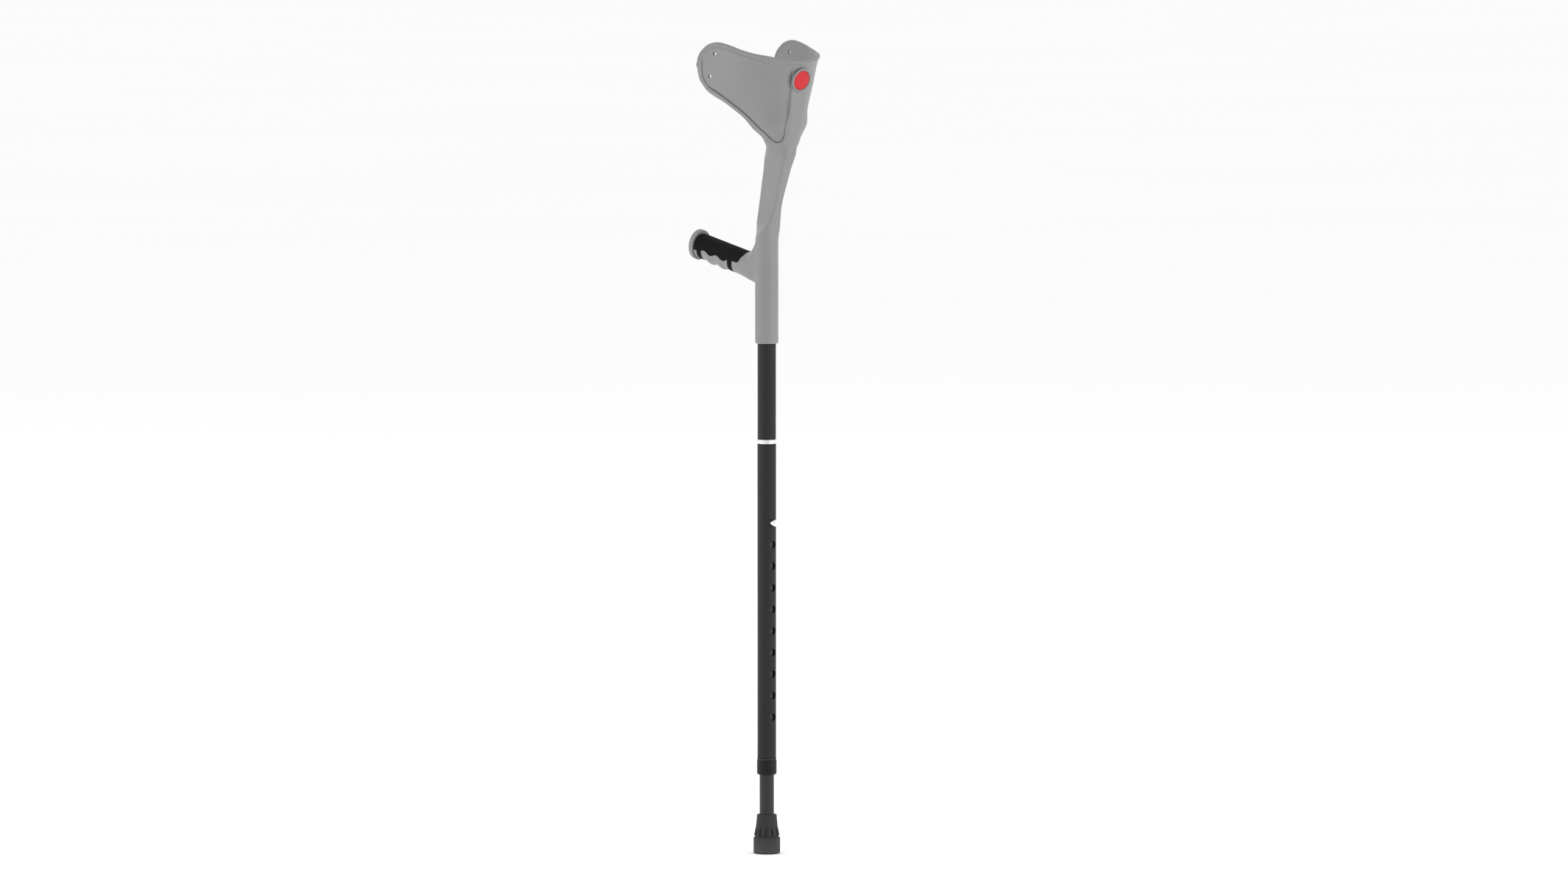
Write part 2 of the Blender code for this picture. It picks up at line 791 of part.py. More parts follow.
def build_top_bush(parts, finish):
    """Plug in the inner tube's top; its head runs in the main tube's bore."""
    top = INNER_TUBE_Z[1]
    head = MAIN_TUBE_R - WALL - GUIDE_GAP
    spigot = INNER_TUBE_R - WALL - GUIDE_GAP
    bore = 4.0 * MM
    profile = [
        (head - 0.5 * MM, top + 6.0 * MM),
        (head, top + 5.4 * MM),
        (head, top + GAP),
        (spigot, top + GAP),
        (spigot, top - 11.5 * MM),
        (spigot - 0.6 * MM, top - 12.0 * MM),
        (bore, top - 12.0 * MM),
        (bore, top + 6.0 * MM),
    ]
    return turned("inner_tube_bush", profile, parts, finish)


def build_button(parts, finish):
    """Snap button: dome, shank and a flange that stops it inside the inner tube."""
    flange_r = 4.9 * MM
    flange = 0.8 * MM
    shank_end = BUTTON_FLANGE_X
    dome_base = BUTTON_TIP_X + BUTTON_R
    tip = -BUTTON_TIP_X
    profile = [(0.0, tip)]
    arc = 6
    for i in range(1, arc + 1):
        angle = math.pi / 2.0 * i / arc
        profile.append((BUTTON_R * math.sin(angle), -dome_base + BUTTON_R * math.cos(angle)))
    profile += [
        (BUTTON_R, -shank_end),
        (flange_r, -shank_end),
        (flange_r, -shank_end - flange),
        (0.0, -shank_end - flange),
    ]
    piece = turned("snap_button", profile, parts, finish, closed=False, steps=24)
    outward = Vector((-1.0, 0.0, 0.0))
    lift = Matrix.Translation((0.0, 0.0, TOP_HOLE_Z))
    piece.matrix_world = lift @ facing(outward)
    return piece


def build_button_spring(parts, finish):
    """Bent leaf spring: one leaf pushes the button out, the other rests on the far wall."""
    thickness = 0.5 * MM
    button_leaf = BUTTON_FLANGE_X + 0.8 * MM + GAP + thickness / 2.0
    centre_line = [
        (button_leaf, TOP_HOLE_Z + 5.0 * MM),
        (button_leaf, TOP_HOLE_Z - 6.0 * MM),
        (-1.2 * MM, TOP_HOLE_Z - 40.0 * MM),
    ]
    bend_x, bend_z, bend_r = 1.8 * MM, TOP_HOLE_Z - 44.0 * MM, 3.0 * MM
    arc = 6
    for i in range(arc + 1):
        angle = math.pi + math.pi * i / arc
        centre_line.append((bend_x + bend_r * math.cos(angle), bend_z + bend_r * math.sin(angle)))
    centre_line += [(5.6 * MM, TOP_HOLE_Z - 22.0 * MM), (5.9 * MM, TOP_HOLE_Z + 2.0 * MM)]
    left = []
    right = []
    last = len(centre_line) - 1
    for i, point in enumerate(centre_line):
        a = centre_line[max(i - 1, 0)]
        b = centre_line[min(i + 1, last)]
        length = math.hypot(b[0] - a[0], b[1] - a[1])
        nx, nz = -(b[1] - a[1]) / length, (b[0] - a[0]) / length
        left.append((point[0] + nx * thickness / 2.0, point[1] + nz * thickness / 2.0))
        right.append((point[0] - nx * thickness / 2.0, point[1] - nz * thickness / 2.0))
    return plate("button_spring", left + right[::-1], 4.6 * MM, parts, finish)


def build_ferrule(parts, cutters, finish):
    """Rubber ferrule: ringed foot, waist groove and a ribbed cone."""
    bore = INNER_TUBE_R + GAP
    floor = WASHER_Z - GAP
    groove = 1.6 * MM
    profile = [
        (bore + 1.6 * MM, FERRULE_TOP),
        (bore + 2.6 * MM, FERRULE_TOP - 0.6 * MM),
        (12.0 * MM, 39.2 * MM),
        (12.95 * MM, 30.5 * MM),
        (14.0 * MM, 26.2 * MM),
        (15.2 * MM, FERRULE_GROOVE_TOP + 0.3 * MM),
        (14.9 * MM, FERRULE_GROOVE_TOP),
        (13.9 * MM, FERRULE_GROOVE_TOP - 0.5 * MM),
        (13.9 * MM, FERRULE_BASE_TOP + 0.5 * MM),
        (FERRULE_R - 0.6 * MM, FERRULE_BASE_TOP),
        (FERRULE_R, FERRULE_BASE_TOP - 0.6 * MM),
        (FERRULE_R, 1.0 * MM),
        (FERRULE_R - 1.0 * MM, 0.0),
        (12.6 * MM, 0.0),
        (12.2 * MM, groove),
        (10.6 * MM, groove),
        (10.2 * MM, 0.0),
        (7.6 * MM, 0.0),
        (7.2 * MM, groove),
        (5.6 * MM, groove),
        (5.2 * MM, 0.0),
        (0.0, 0.0),
    ]
    inside = [(0.0, floor), (bore, floor), (bore, FERRULE_TOP)]
    piece = turned("ferrule", profile + inside, parts, finish)
    slots = bpy.data.meshes.new("rib_slots")
    shape = bmesh.new()
    for i in range(RIB_SLOTS):
        turn = Matrix.Rotation(TAU * (i + 0.5) / RIB_SLOTS, 4, "Z")
        middle = (FERRULE_GROOVE_TOP + RIB_TOP) / 2.0
        place = turn @ Matrix.Translation((15.4 * MM, 0.0, middle + 0.4 * MM))
        size = Matrix.Diagonal((5.0 * MM, 1.7 * MM, RIB_TOP - FERRULE_GROOVE_TOP, 1.0))
        bmesh.ops.create_cube(shape, size=1.0, matrix=place @ size)
    shape.to_mesh(slots)
    shape.free()
    boolean(piece, add_object("rib_slots", slots, cutters), "DIFFERENCE")
    return piece


def build_washer(parts, finish):
    radius = INNER_TUBE_R - 0.2 * MM
    profile = [(0.0, WASHER_Z + WALL), (radius, WASHER_Z + WALL), (radius, WASHER_Z), (0.0, WASHER_Z)]
    return turned("ferrule_washer", profile, parts, finish, closed=False)


# ------------------------------------------------------------------ reflector

def reflector_frame():
    """The reflector's own frame, +Z out of the spine's face."""
    outward = Vector((-math.cos(REFLECTOR_TILT), 0.0, -math.sin(REFLECTOR_TILT)))
    place = Vector((spine_face(REFLECTOR_Z), 0.0, REFLECTOR_Z))
    return Matrix.Translation(place) @ facing(outward)


def build_reflector(parts, bezel_finish, back_finish, lens_finish):
    """Bezel cup with a peg, a mirror plate and a red lens."""
    floor = 0.9 * MM
    rim = 2.7 * MM
    bore = LENS_R + GAP
    bezel_profile = [
        (bore + 0.5 * MM, rim),
        (BEZEL_R - 0.6 * MM, rim),
        (BEZEL_R, rim - 0.6 * MM),
        (BEZEL_R, 0.2 * MM),
        (PEG_R, 0.2 * MM),
        (PEG_R, 1.0 * MM - PEG_LENGTH),
        (PEG_R - 0.6 * MM, -PEG_LENGTH),
        (0.0, -PEG_LENGTH),
        (0.0, floor + 0.2 * MM),
        (bore, floor + 0.2 * MM),
        (bore, rim - 0.4 * MM),
    ]
    bezel = turned("reflector_bezel", bezel_profile, parts, bezel_finish, steps=36)
    back_low = floor + 0.2 * MM + GAP
    back_high = back_low + 0.5 * MM
    back_profile = [(0.0, back_high), (LENS_R, back_high), (LENS_R, back_low), (0.0, back_low)]
    back = turned("reflector_back", back_profile, parts, back_finish, closed=False, steps=36)
    lens_low = back_high + GAP
    lens_edge = rim - 0.5 * MM
    crown = 0.7 * MM
    lens_profile = [
        (0.0, lens_edge + crown),
        (LENS_R * 0.45, lens_edge + crown * 0.8),
        (LENS_R * 0.8, lens_edge + crown * 0.36),
        (LENS_R, lens_edge),
        (LENS_R, lens_low),
        (0.0, lens_low),
    ]
    lens = turned("reflector_lens", lens_profile, parts, lens_finish, closed=False, steps=36)
    for piece in (bezel, back, lens):
        piece.matrix_world = reflector_frame()


# ------------------------------------------------------------------ assembly

def main():
    clear_scene()
    parts = collection("forearm_crutch")
    cutters = collection("cutters")

    grey = material("grey_moulding", (0.28, 0.28, 0.285), 0.45)
    soft_black = material("soft_black_grip", (0.018, 0.018, 0.019), 0.7)
    dark_tube = material("dark_anodised_tube", (0.036, 0.036, 0.038), 0.42, 0.6)
    inner_dark = material("dark_inner_tube", (0.04, 0.04, 0.042), 0.4, 0.6)
    bright = material("bright_ring", (0.72, 0.72, 0.73), 0.25, 0.9)
    raw = material("raw_aluminium", (0.6, 0.6, 0.62), 0.35, 1.0)
    chrome = material("button_chrome", (0.85, 0.85, 0.86), 0.12, 1.0)
    steel = material("spring_steel", (0.5, 0.5, 0.52), 0.3, 1.0)
    lip_grey = material("bush_plastic", (0.045, 0.045, 0.047), 0.5)
    collar_black = material("collar_plastic", (0.02, 0.02, 0.021), 0.5)
    nylon = material("guide_nylon", (0.6, 0.6, 0.58), 0.5)
    rubber = material("ferrule_rubber", (0.065, 0.065, 0.067), 0.75)
    mirror = material("reflector_mirror", (0.7, 0.7, 0.7), 0.2, 0.8)
    red = material("reflector_red", (0.62, 0.03, 0.04), 0.3)

    build_moulding(parts, cutters, grey)
    build_grip(parts, cutters, soft_black)
    build_end_cap(parts, grey)
    build_reflector(parts, grey, mirror, red)
    build_upper_tube(parts, cutters, dark_tube)
    build_joint_ring(parts, bright)
    build_coupler(parts, cutters, raw)
    build_main_tube(parts, cutters, dark_tube)
    build_rivet("upper_coupler_rivet", 1.0, 0.0, RIVET_Z[0], UPPER_TUBE_R, RIVET_REACH, parts, raw)
    build_rivet("lower_coupler_rivet", 1.0, 0.0, RIVET_Z[1], MAIN_TUBE_R, RIVET_REACH, parts, raw)
    build_rivet("sleeve_rivet", 0.0, -1.0, SLEEVE_RIVET_Z, SLEEVE_R, SLEEVE_RIVET_REACH, parts, raw)
    build_guide_bush(parts, lip_grey)
    build_collar(parts, collar_black)
    build_inner_tube(parts, cutters, inner_dark)
    build_top_bush(parts, nylon)
    build_button(parts, chrome)
    build_button_spring(parts, steel)
    build_ferrule(parts, cutters, rubber)
    build_washer(parts, steel)


main()
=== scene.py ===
"""Forearm crutch: fine surfaces, finishes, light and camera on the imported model."""

import json
import math

import bmesh
import bpy
from mathutils import Matrix, Vector
from mathutils.kdtree import KDTree


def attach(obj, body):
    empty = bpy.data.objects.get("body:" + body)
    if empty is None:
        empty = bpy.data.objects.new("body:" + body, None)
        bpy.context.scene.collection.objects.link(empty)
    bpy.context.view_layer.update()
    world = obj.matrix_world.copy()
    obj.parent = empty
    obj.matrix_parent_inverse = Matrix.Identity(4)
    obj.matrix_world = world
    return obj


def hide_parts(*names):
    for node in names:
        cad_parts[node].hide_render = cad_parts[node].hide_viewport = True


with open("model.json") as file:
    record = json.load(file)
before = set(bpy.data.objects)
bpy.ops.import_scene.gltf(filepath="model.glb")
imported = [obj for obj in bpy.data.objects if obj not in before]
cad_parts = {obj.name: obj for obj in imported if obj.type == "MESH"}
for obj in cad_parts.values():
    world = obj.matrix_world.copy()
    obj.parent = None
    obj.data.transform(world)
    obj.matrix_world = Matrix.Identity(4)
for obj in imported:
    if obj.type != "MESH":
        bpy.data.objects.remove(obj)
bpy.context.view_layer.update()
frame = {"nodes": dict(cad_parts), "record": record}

MM = 0.001
TAU = 2.0 * math.pi
GAP = 0.3 * MM
VOXEL = 0.62 * MM
PAD_VOXEL = 0.42 * MM

# Tubes
WALL = 1.5 * MM
UPPER_TUBE_R = 10.8 * MM
MAIN_TUBE_R = 11.0 * MM
INNER_TUBE_R = 8.5 * MM
INNER_TUBE_Z = (14.1 * MM, 416.0 * MM)
COLLAR_Z = (92.7 * MM, 109.3 * MM)
LIP_TOP = 112.2 * MM
RING_Z = (482.3 * MM, 487.1 * MM)
SLEEVE_BOTTOM = 599.8 * MM
UPPER_TUBE_TOP = 712.0 * MM
GUIDE_GAP = 0.15 * MM

# Height holes and the button
HOLE_PITCH = 25.4 * MM
HOLE_COUNT = 10
HOLE_R = 4.5 * MM
TOP_HOLE_Z = 389.4 * MM
BUTTON_R = 4.2 * MM
BUTTON_TIP = 17.6 * MM
BUTTON_FLANGE = 4.6 * MM

# Ferrule
WASHER_Z = 12.3 * MM
FERRULE_TOP = 45.5 * MM
FERRULE_R = 15.75 * MM
FERRULE_BASE_TOP = 18.3 * MM
FERRULE_GROOVE_TOP = 20.6 * MM
RIB_TOP = 30.5 * MM
RIB_SLOTS = 12

# Rivets
RIVET_R = 1.6 * MM
RIVET_HEAD_R = 2.9 * MM
RIVET_HEAD = 1.1 * MM
RIVET_Z = (505.0 * MM, 464.0 * MM)
SLEEVE_RIVET_Z = 640.0 * MM
SLEEVE_R = 13.7 * MM

# Cuff
SHEET = 4.0 * MM
LIP = 1.4 * MM
CUFF_FOOT = 830.0 * MM
CUFF_HEAD = 938.0 * MM
CUFF_BULGE_Z = 855.0 * MM
CUFF_BULGE = 0.35
CUFF_BULGE_REACH = 13.5 * MM
CUFF_PUSH_Z = 860.0 * MM
CUFF_PUSH = 2.2
CUFF_PUSH_REACH = 14.0 * MM
BEAD_HEIGHT = 4.5 * MM
WING_HOLE_R = 2.5 * MM
WING_HOLES = ((24.2 * MM, 939.5 * MM), (34.2 * MM, 913.0 * MM))
CUFF_FOOT_POINTS = ((-41.5, 0.0), (-41.5, 13.2), (-30.0, 13.0), (-6.0, 12.5))
CUFF_HEAD_POINTS = ((-59.8, 0.0), (-59.8, 49.0), (-24.0, 57.0), (52.5, 60.5))
CUFF_LOW_EDGE = (
    (0.0, 829.0), (0.5, 830.5), (0.66, 829.5), (0.705, 831.5), (0.725, 840.0), (0.746, 856.0),
    (0.769, 864.0), (0.824, 873.0), (0.877, 881.5), (0.948, 889.7), (0.985, 896.3), (1.0, 904.5),
)
CUFF_HIGH_EDGE = (
    (0.0, 931.5), (0.15, 933.0), (0.3, 937.0), (0.5, 941.0), (0.63, 945.0), (0.76, 950.8), (0.85, 953.2),
    (0.92, 950.2), (0.97, 942.5), (0.99, 936.0), (1.0, 929.0),
)
# Outline of the sunk panel on each wing: place round the cuff and height in mm
PANEL = (
    (0.093, 921.0), (0.108, 898.5), (0.13, 879.0), (0.155, 853.0), (0.2, 843.5), (0.29, 838.2),
    (0.4, 836.6), (0.5, 838.8), (0.585, 848.0), (0.683, 861.5), (0.77, 875.0), (0.843, 885.5),
    (0.898, 893.0), (0.948, 899.0), (0.972, 907.0), (0.976, 916.0), (0.971, 928.0), (0.96, 937.0),
    (0.912, 945.2), (0.845, 948.3), (0.758, 945.8), (0.648, 941.0), (0.525, 936.3), (0.38, 931.8),
    (0.245, 929.0), (0.145, 928.0), (0.103, 926.0),
)
PANEL_DEPTH = 0.95 * MM
PANEL_WALL = 0.9 * MM
GROOVE_AT = 0.75 * MM
GROOVE_HALF = 0.6 * MM

# Arm and spine, in mm
SLEEVE_FOOT = 599.8
SLEEVE_ROUNDED = 603.0
SLEEVE_END = 717.0
ARM_TOP = 846.0
ARM = (
    (SLEEVE_FOOT, 0.0, 12.8, 12.8, 2.0),
    (SLEEVE_ROUNDED, 0.0, 13.7, 13.7, 2.0),
    (SLEEVE_END, 0.0, 13.7, 13.7, 2.0),
    (728.0, -0.2, 13.9, 12.6, 2.3),
    (738.0, -0.9, 14.2, 8.8, 3.6),
    (748.0, -3.3, 14.7, 7.0, 5.4),
    (769.0, -8.3, 15.4, 6.5, 5.8),
    (787.0, -13.3, 16.5, 7.4, 5.8),
    (804.0, -18.4, 17.3, 8.6, 5.6),
    (821.0, -23.5, 19.2, 10.6, 5.0),
    (832.0, -25.4, 19.4, 11.7, 3.8),
    (ARM_TOP, -26.0, 19.0, 12.6, 2.8),
)
SPINE = (
    (806.0, -31.6, 5.4),
    (812.0, -35.0, 6.4),
    (830.0, -43.0, 8.0),
    (840.0, -46.2, 9.2),
    (850.0, -50.0, 10.7),
    (862.0, -52.6, 11.2),
    (873.0, -55.0, 11.9),
    (892.0, -57.0, 12.0),
    (910.0, -59.2, 11.7),
    (930.0, -61.8, 11.4),
)
SPINE_DEPTH = 6.0 * MM
# Solid neck: height, how far round the cuff it goes, swell, scale across and shift forwards, in mm
NECK = (
    (814.0, 0.9, 0.0, 0.78, 2.6),
    (822.0, 0.89, 1.4, 0.87, 1.4),
    (829.0, 0.87, 2.9, 0.97, 0.2),
    (833.0, 0.825, 3.3, 1.0, 0.0),
    (836.5, 0.775, 3.3, 1.0, 0.0),
    (840.0, 0.735, 3.1, 1.0, 0.0),
    (845.0, 0.67, 2.5, 1.0, 0.0),
    (850.0, 0.58, 1.6, 1.0, 0.0),
    (862.0, 0.33, 0.6, 1.0, 0.0),
    (880.0, 0.08, 0.0, 1.0, 0.0),
)

# Handle, in mm along and across it
HANDLE_Z = 683.0 * MM
HANDLE_TILT = math.radians(12.3)
HANDLE_END = 118.5 * MM
HANDLE_TOP = 16.2
HANDLE_HALF_WIDTH = 12.6 * MM
HANDLE_POWER = 2.25
ROOT_END = 34.0
ROOT_REACH = 20.0
ROOT_FLARE = 34.0
PAD = 2.4 * MM
HANDLE_UNDERSIDE = (
    (-6.0, -18.5), (18.0, -16.2), (40.0, -13.6), (57.0, -13.4),
    (81.0, -13.9), (101.0, -13.2), (119.0, -12.6),
)
BUMP_PITCH = 21.0
BUMP_AT = 71.0
BUMP_HEIGHT = 1.3
SCALLOP_PITCH = 22.5
SCALLOP_AT = 66.0
SCALLOP_MIDDLE = -0.9
SCALLOP_RISE = 1.7
PAD_START = 33.6 * MM
PAD_ABOVE = 32.0 * MM
BAND_S = (53.2 * MM, 108.8 * MM)
BAND_HALF = 4.0 * MM
CORE_BORE_R = 6.5 * MM
CORE_BORE_DEPTH = 52.0 * MM
CORE_N = 1.0 * MM
FLANGE_R = 18.0 * MM
FLANGE_RISE = 1.0 * MM
FLANGE_THICK = 8.3 * MM

# Reflector
REFLECTOR_Z = 910.0 * MM
REFLECTOR_TILT = math.radians(15.5)
BEZEL_R = 14.0 * MM
LENS_R = 11.5 * MM
BEZEL_RIM = 2.7 * MM
BEZEL_FLOOR = 1.1 * MM
BEZEL_PEG_R = 3.0 * MM

# Photograph's view, in degrees and metres
PHOTO_AZIMUTH = 228.2
PHOTO_ELEVATION = 4.4
CAMERA_AWAY = 11.0
CAMERA_HEIGHT = 0.4852
CAMERA_ASIDE = 0.0202
CAMERA_LENS = 215.6


# ------------------------------------------------------------------ finishes

def fill(node, **values):
    """Sets a node's inputs by name, with an underscore for each space."""
    for name, value in values.items():
        node.inputs[name.replace("_", " ")].default_value = value
    return node


def add_node(tree, kind, **values):
    return fill(tree.nodes.new("ShaderNode" + kind), **values)


def new_material(name, **values):
    made = bpy.data.materials.new(name)
    made.use_nodes = True
    return made, made.node_tree, fill(made.node_tree.nodes["Principled BSDF"], **values)


def colour_ramp(tree, source, start, dark, end, light):
    """A blend from one colour to another, driven by the source."""
    made = add_node(tree, "ValToRGB")
    for stop, position, colour in zip(made.color_ramp.elements, (start, end), (dark, light)):
        stop.position = position
        stop.color = (*colour, 1.0)
    tree.links.new(source, made.inputs["Fac"])
    return made.outputs["Color"]


def finish(
    name, dark, light, roughness, metallic=0.0, mottle=45.0, grain=1500.0, bump=0.12, depth=0.00006,
    stretch=(1.0, 1.0, 1.0), spread=0.08, specular=0.5, pores=0.0, dust=None,
):
    """Noise-mottled colour and roughness with a fine grain in the bump."""
    made, tree, shader = new_material(name, Metallic=metallic, Specular_IOR_Level=specular)
    wire = tree.links.new
    place = add_node(tree, "TexCoord").outputs["Object"]
    along = add_node(tree, "Mapping", Scale=stretch)
    wire(place, along.inputs["Vector"])
    broad = add_node(tree, "TexNoise", Scale=mottle, Detail=5.0, Roughness=0.6)
    wire(place, broad.inputs["Vector"])
    fine = add_node(tree, "TexNoise", Scale=grain, Detail=3.0, Roughness=0.6)
    wire(along.outputs["Vector"], fine.inputs["Vector"])
    blend = add_node(tree, "Mix")
    blend.data_type = "FLOAT"
    blend.inputs[0].default_value = 0.35
    wire(broad.outputs["Fac"], blend.inputs[2])
    wire(fine.outputs["Fac"], blend.inputs[3])
    colour = colour_ramp(tree, blend.outputs[0], 0.3, dark, 0.7, light)
    if dust:
        low, high, tone = dust
        parts = add_node(tree, "SeparateXYZ")
        wire(place, parts.inputs[0])
        fade = add_node(tree, "MapRange", From_Min=high, From_Max=low)
        wire(parts.outputs["Z"], fade.inputs["Value"])
        patchy = add_node(tree, "Math")
        patchy.operation = "MULTIPLY"
        wire(fade.outputs["Result"], patchy.inputs[0])
        wire(broad.outputs["Fac"], patchy.inputs[1])
        over = add_node(tree, "Mix")
        over.data_type = "RGBA"
        wire(patchy.outputs[0], over.inputs[0])
        wire(colour, over.inputs[6])
        over.inputs[7].default_value = (*tone, 1.0)
        colour = over.outputs[2]
    wire(colour, shader.inputs["Base Color"])
    sheen = add_node(
        tree, "MapRange", From_Min=0.3, From_Max=0.7, To_Min=roughness - spread, To_Max=roughness + spread
    )
    wire(broad.outputs["Fac"], sheen.inputs["Value"])
    wire(sheen.outputs["Result"], shader.inputs["Roughness"])
    relief = add_node(tree, "Bump", Strength=bump, Distance=depth)
    wire(fine.outputs["Fac"], relief.inputs["Height"])
    if pores:
        cells = add_node(tree, "TexVoronoi", Scale=pores)
        wire(along.outputs["Vector"], cells.inputs["Vector"])
        pitted = add_node(tree, "Bump", Strength=min(1.0, bump * 2.0), Distance=depth * 2.0)
        wire(cells.outputs["Distance"], pitted.inputs["Height"])
        wire(relief.outputs["Normal"], pitted.inputs["Normal"])
        relief = pitted
    wire(relief.outputs["Normal"], shader.inputs["Normal"])
    return made


def grey(value, tint=0.0):
    return (value - tint, value, value + tint)


def make_finishes():
    return {
        "grey_moulding": finish(
            "moulded_grey", grey(0.196), grey(0.219, 0.001), 0.48, mottle=18.0, grain=2600.0, bump=0.25,
            depth=0.00004, spread=0.05,
        ),
        "soft_black_grip": finish(
            "grip_foam", grey(0.0025), grey(0.0085), 0.82, mottle=210.0, grain=1300.0, bump=0.6,
            depth=0.00025, spread=0.1, specular=0.1, pores=900.0,
        ),
        "dark_tube": finish(
            "anodised_grey", grey(0.0135, 0.0002), grey(0.0175, 0.0002), 0.5, mottle=30.0, grain=1600.0,
            bump=0.1, depth=0.00003, stretch=(1.0, 1.0, 0.03), spread=0.05, specular=0.2,
        ),
        "dark_inner_tube": finish(
            "anodised_leg", grey(0.017, 0.0002), grey(0.022, 0.0003), 0.42, mottle=40.0, grain=1800.0,
            bump=0.12, depth=0.00003, stretch=(1.0, 1.0, 0.02), spread=0.06, specular=0.3,
        ),
        "bright_ring": finish(
            "turned_ring", grey(0.62), grey(0.8), 0.34, metallic=0.8, mottle=90.0, grain=2400.0, bump=0.1,
            depth=0.00003, stretch=(0.05, 0.05, 1.0), spread=0.06,
        ),
        "raw_aluminium": finish(
            "raw_aluminium", grey(0.5), grey(0.64, 0.004), 0.36, metallic=1.0, mottle=60.0, grain=1800.0,
            bump=0.15, depth=0.00004, stretch=(1.0, 1.0, 0.05), spread=0.08,
        ),
        "bush_plastic": finish(
            "bush_plastic", grey(0.014), grey(0.019), 0.5, mottle=80.0, grain=2200.0, bump=0.2,
            depth=0.00004, specular=0.3,
        ),
        "collar_plastic": finish(
            "collar_plastic", grey(0.003), grey(0.0055), 0.45, mottle=90.0, grain=2200.0, bump=0.2,
            depth=0.00004, specular=0.22,
        ),
        "guide_nylon": finish(
            "natural_nylon", grey(0.52), (0.62, 0.61, 0.58), 0.5, mottle=60.0, grain=1800.0, bump=0.2,
            depth=0.00005,
        ),
        "button_chrome": finish(
            "polished_chrome", grey(0.8), grey(0.9, 0.004), 0.12, metallic=1.0, mottle=220.0, grain=2600.0,
            bump=0.04, depth=0.00002, spread=0.05,
        ),
        "spring_steel": finish(
            "spring_steel", grey(0.38), grey(0.52, 0.004), 0.32, metallic=1.0, mottle=120.0, grain=1600.0,
            bump=0.15, depth=0.00004, stretch=(1.0, 1.0, 0.05),
        ),
        "ferrule_rubber": finish(
            "ferrule_rubber", grey(0.018), grey(0.026), 0.68, mottle=90.0, grain=1700.0, bump=0.35,
            depth=0.0001, specular=0.3, pores=1100.0, dust=(0.0, 0.024, grey(0.075)),
        ),
        "reflector_mirror": finish(
            "silvered_back", grey(0.62), grey(0.75), 0.2, metallic=0.8, mottle=200.0, grain=1800.0,
            bump=0.1, depth=0.00004,
        ),
        "reflector_red": reflector_finish(),
    }


def reflector_finish():
    """Clear red plastic over small prism cells."""
    made, tree, shader = new_material(
        "prism_red", Roughness=0.28, Specular_IOR_Level=0.25, Coat_Weight=0.08, Coat_Roughness=0.08
    )
    wire = tree.links.new
    cells = add_node(tree, "TexVoronoi", Scale=620.0, Randomness=0.15)
    wire(add_node(tree, "TexCoord").outputs["Object"], cells.inputs["Vector"])
    distance = cells.outputs["Distance"]
    red = colour_ramp(tree, distance, 0.1, (0.6, 0.014, 0.019), 0.75, (0.44, 0.008, 0.012))
    wire(red, shader.inputs["Base Color"])
    relief = add_node(tree, "Bump", Strength=0.35, Distance=0.0002)
    wire(distance, relief.inputs["Height"])
    wire(relief.outputs["Normal"], shader.inputs["Normal"])
    return made


# ------------------------------------------------------------------ mesh helpers

def link(name, mesh):
    made = bpy.data.objects.new(name, mesh)
    bpy.context.scene.collection.objects.link(made)
    return made


def discard(made):
    mesh = made.data
    bpy.data.objects.remove(made, do_unlink=True)
    if mesh.users == 0:
        bpy.data.meshes.remove(mesh)


def soften(mesh, angle=34.0):
    mesh.shade_smooth()
    mesh.set_sharp_from_angle(angle=math.radians(angle))


def baked(made):
    """Applies the object's modifiers to its mesh."""
    bpy.context.view_layer.update()
    graph = bpy.context.evaluated_depsgraph_get()
    mesh = bpy.data.meshes.new_from_object(made.evaluated_get(graph))
    made.modifiers.clear()
    old = made.data
    made.data = mesh
    bpy.data.meshes.remove(old)
    return made


def cut(made, cutters, operation="DIFFERENCE", solver="EXACT"):
    """Cuts or joins other meshes, which are used up."""
    for cutter in cutters:
        step = made.modifiers.new("cut", "BOOLEAN")
        step.operation = operation
        step.solver = solver
        step.object = cutter
    baked(made)
    for cutter in cutters:
        discard(cutter)
    return made


def fillets(profile, steps=5):
    """A profile of (radius, height, rounding) with its corners rounded."""
    points = []
    count = len(profile)
    for i, (r, z, rounding) in enumerate(profile):
        here = Vector((r, z))
        if rounding <= 0.0:
            points.append((r, z))
            continue
        before = Vector(profile[(i - 1) % count][:2]) - here
        after = Vector(profile[(i + 1) % count][:2]) - here
        near = here + before.normalized() * min(rounding, before.length * 0.48)
        far = here + after.normalized() * min(rounding, after.length * 0.48)
        for k in range(steps + 1):
            f = k / steps
            spot = near * (1 - f) ** 2 + here * 2 * f * (1 - f) * 0.83 + far * f * f
            weight = (1 - f) ** 2 + 2 * f * (1 - f) * 0.83 + f * f
            points.append(tuple(spot / weight))
    return points


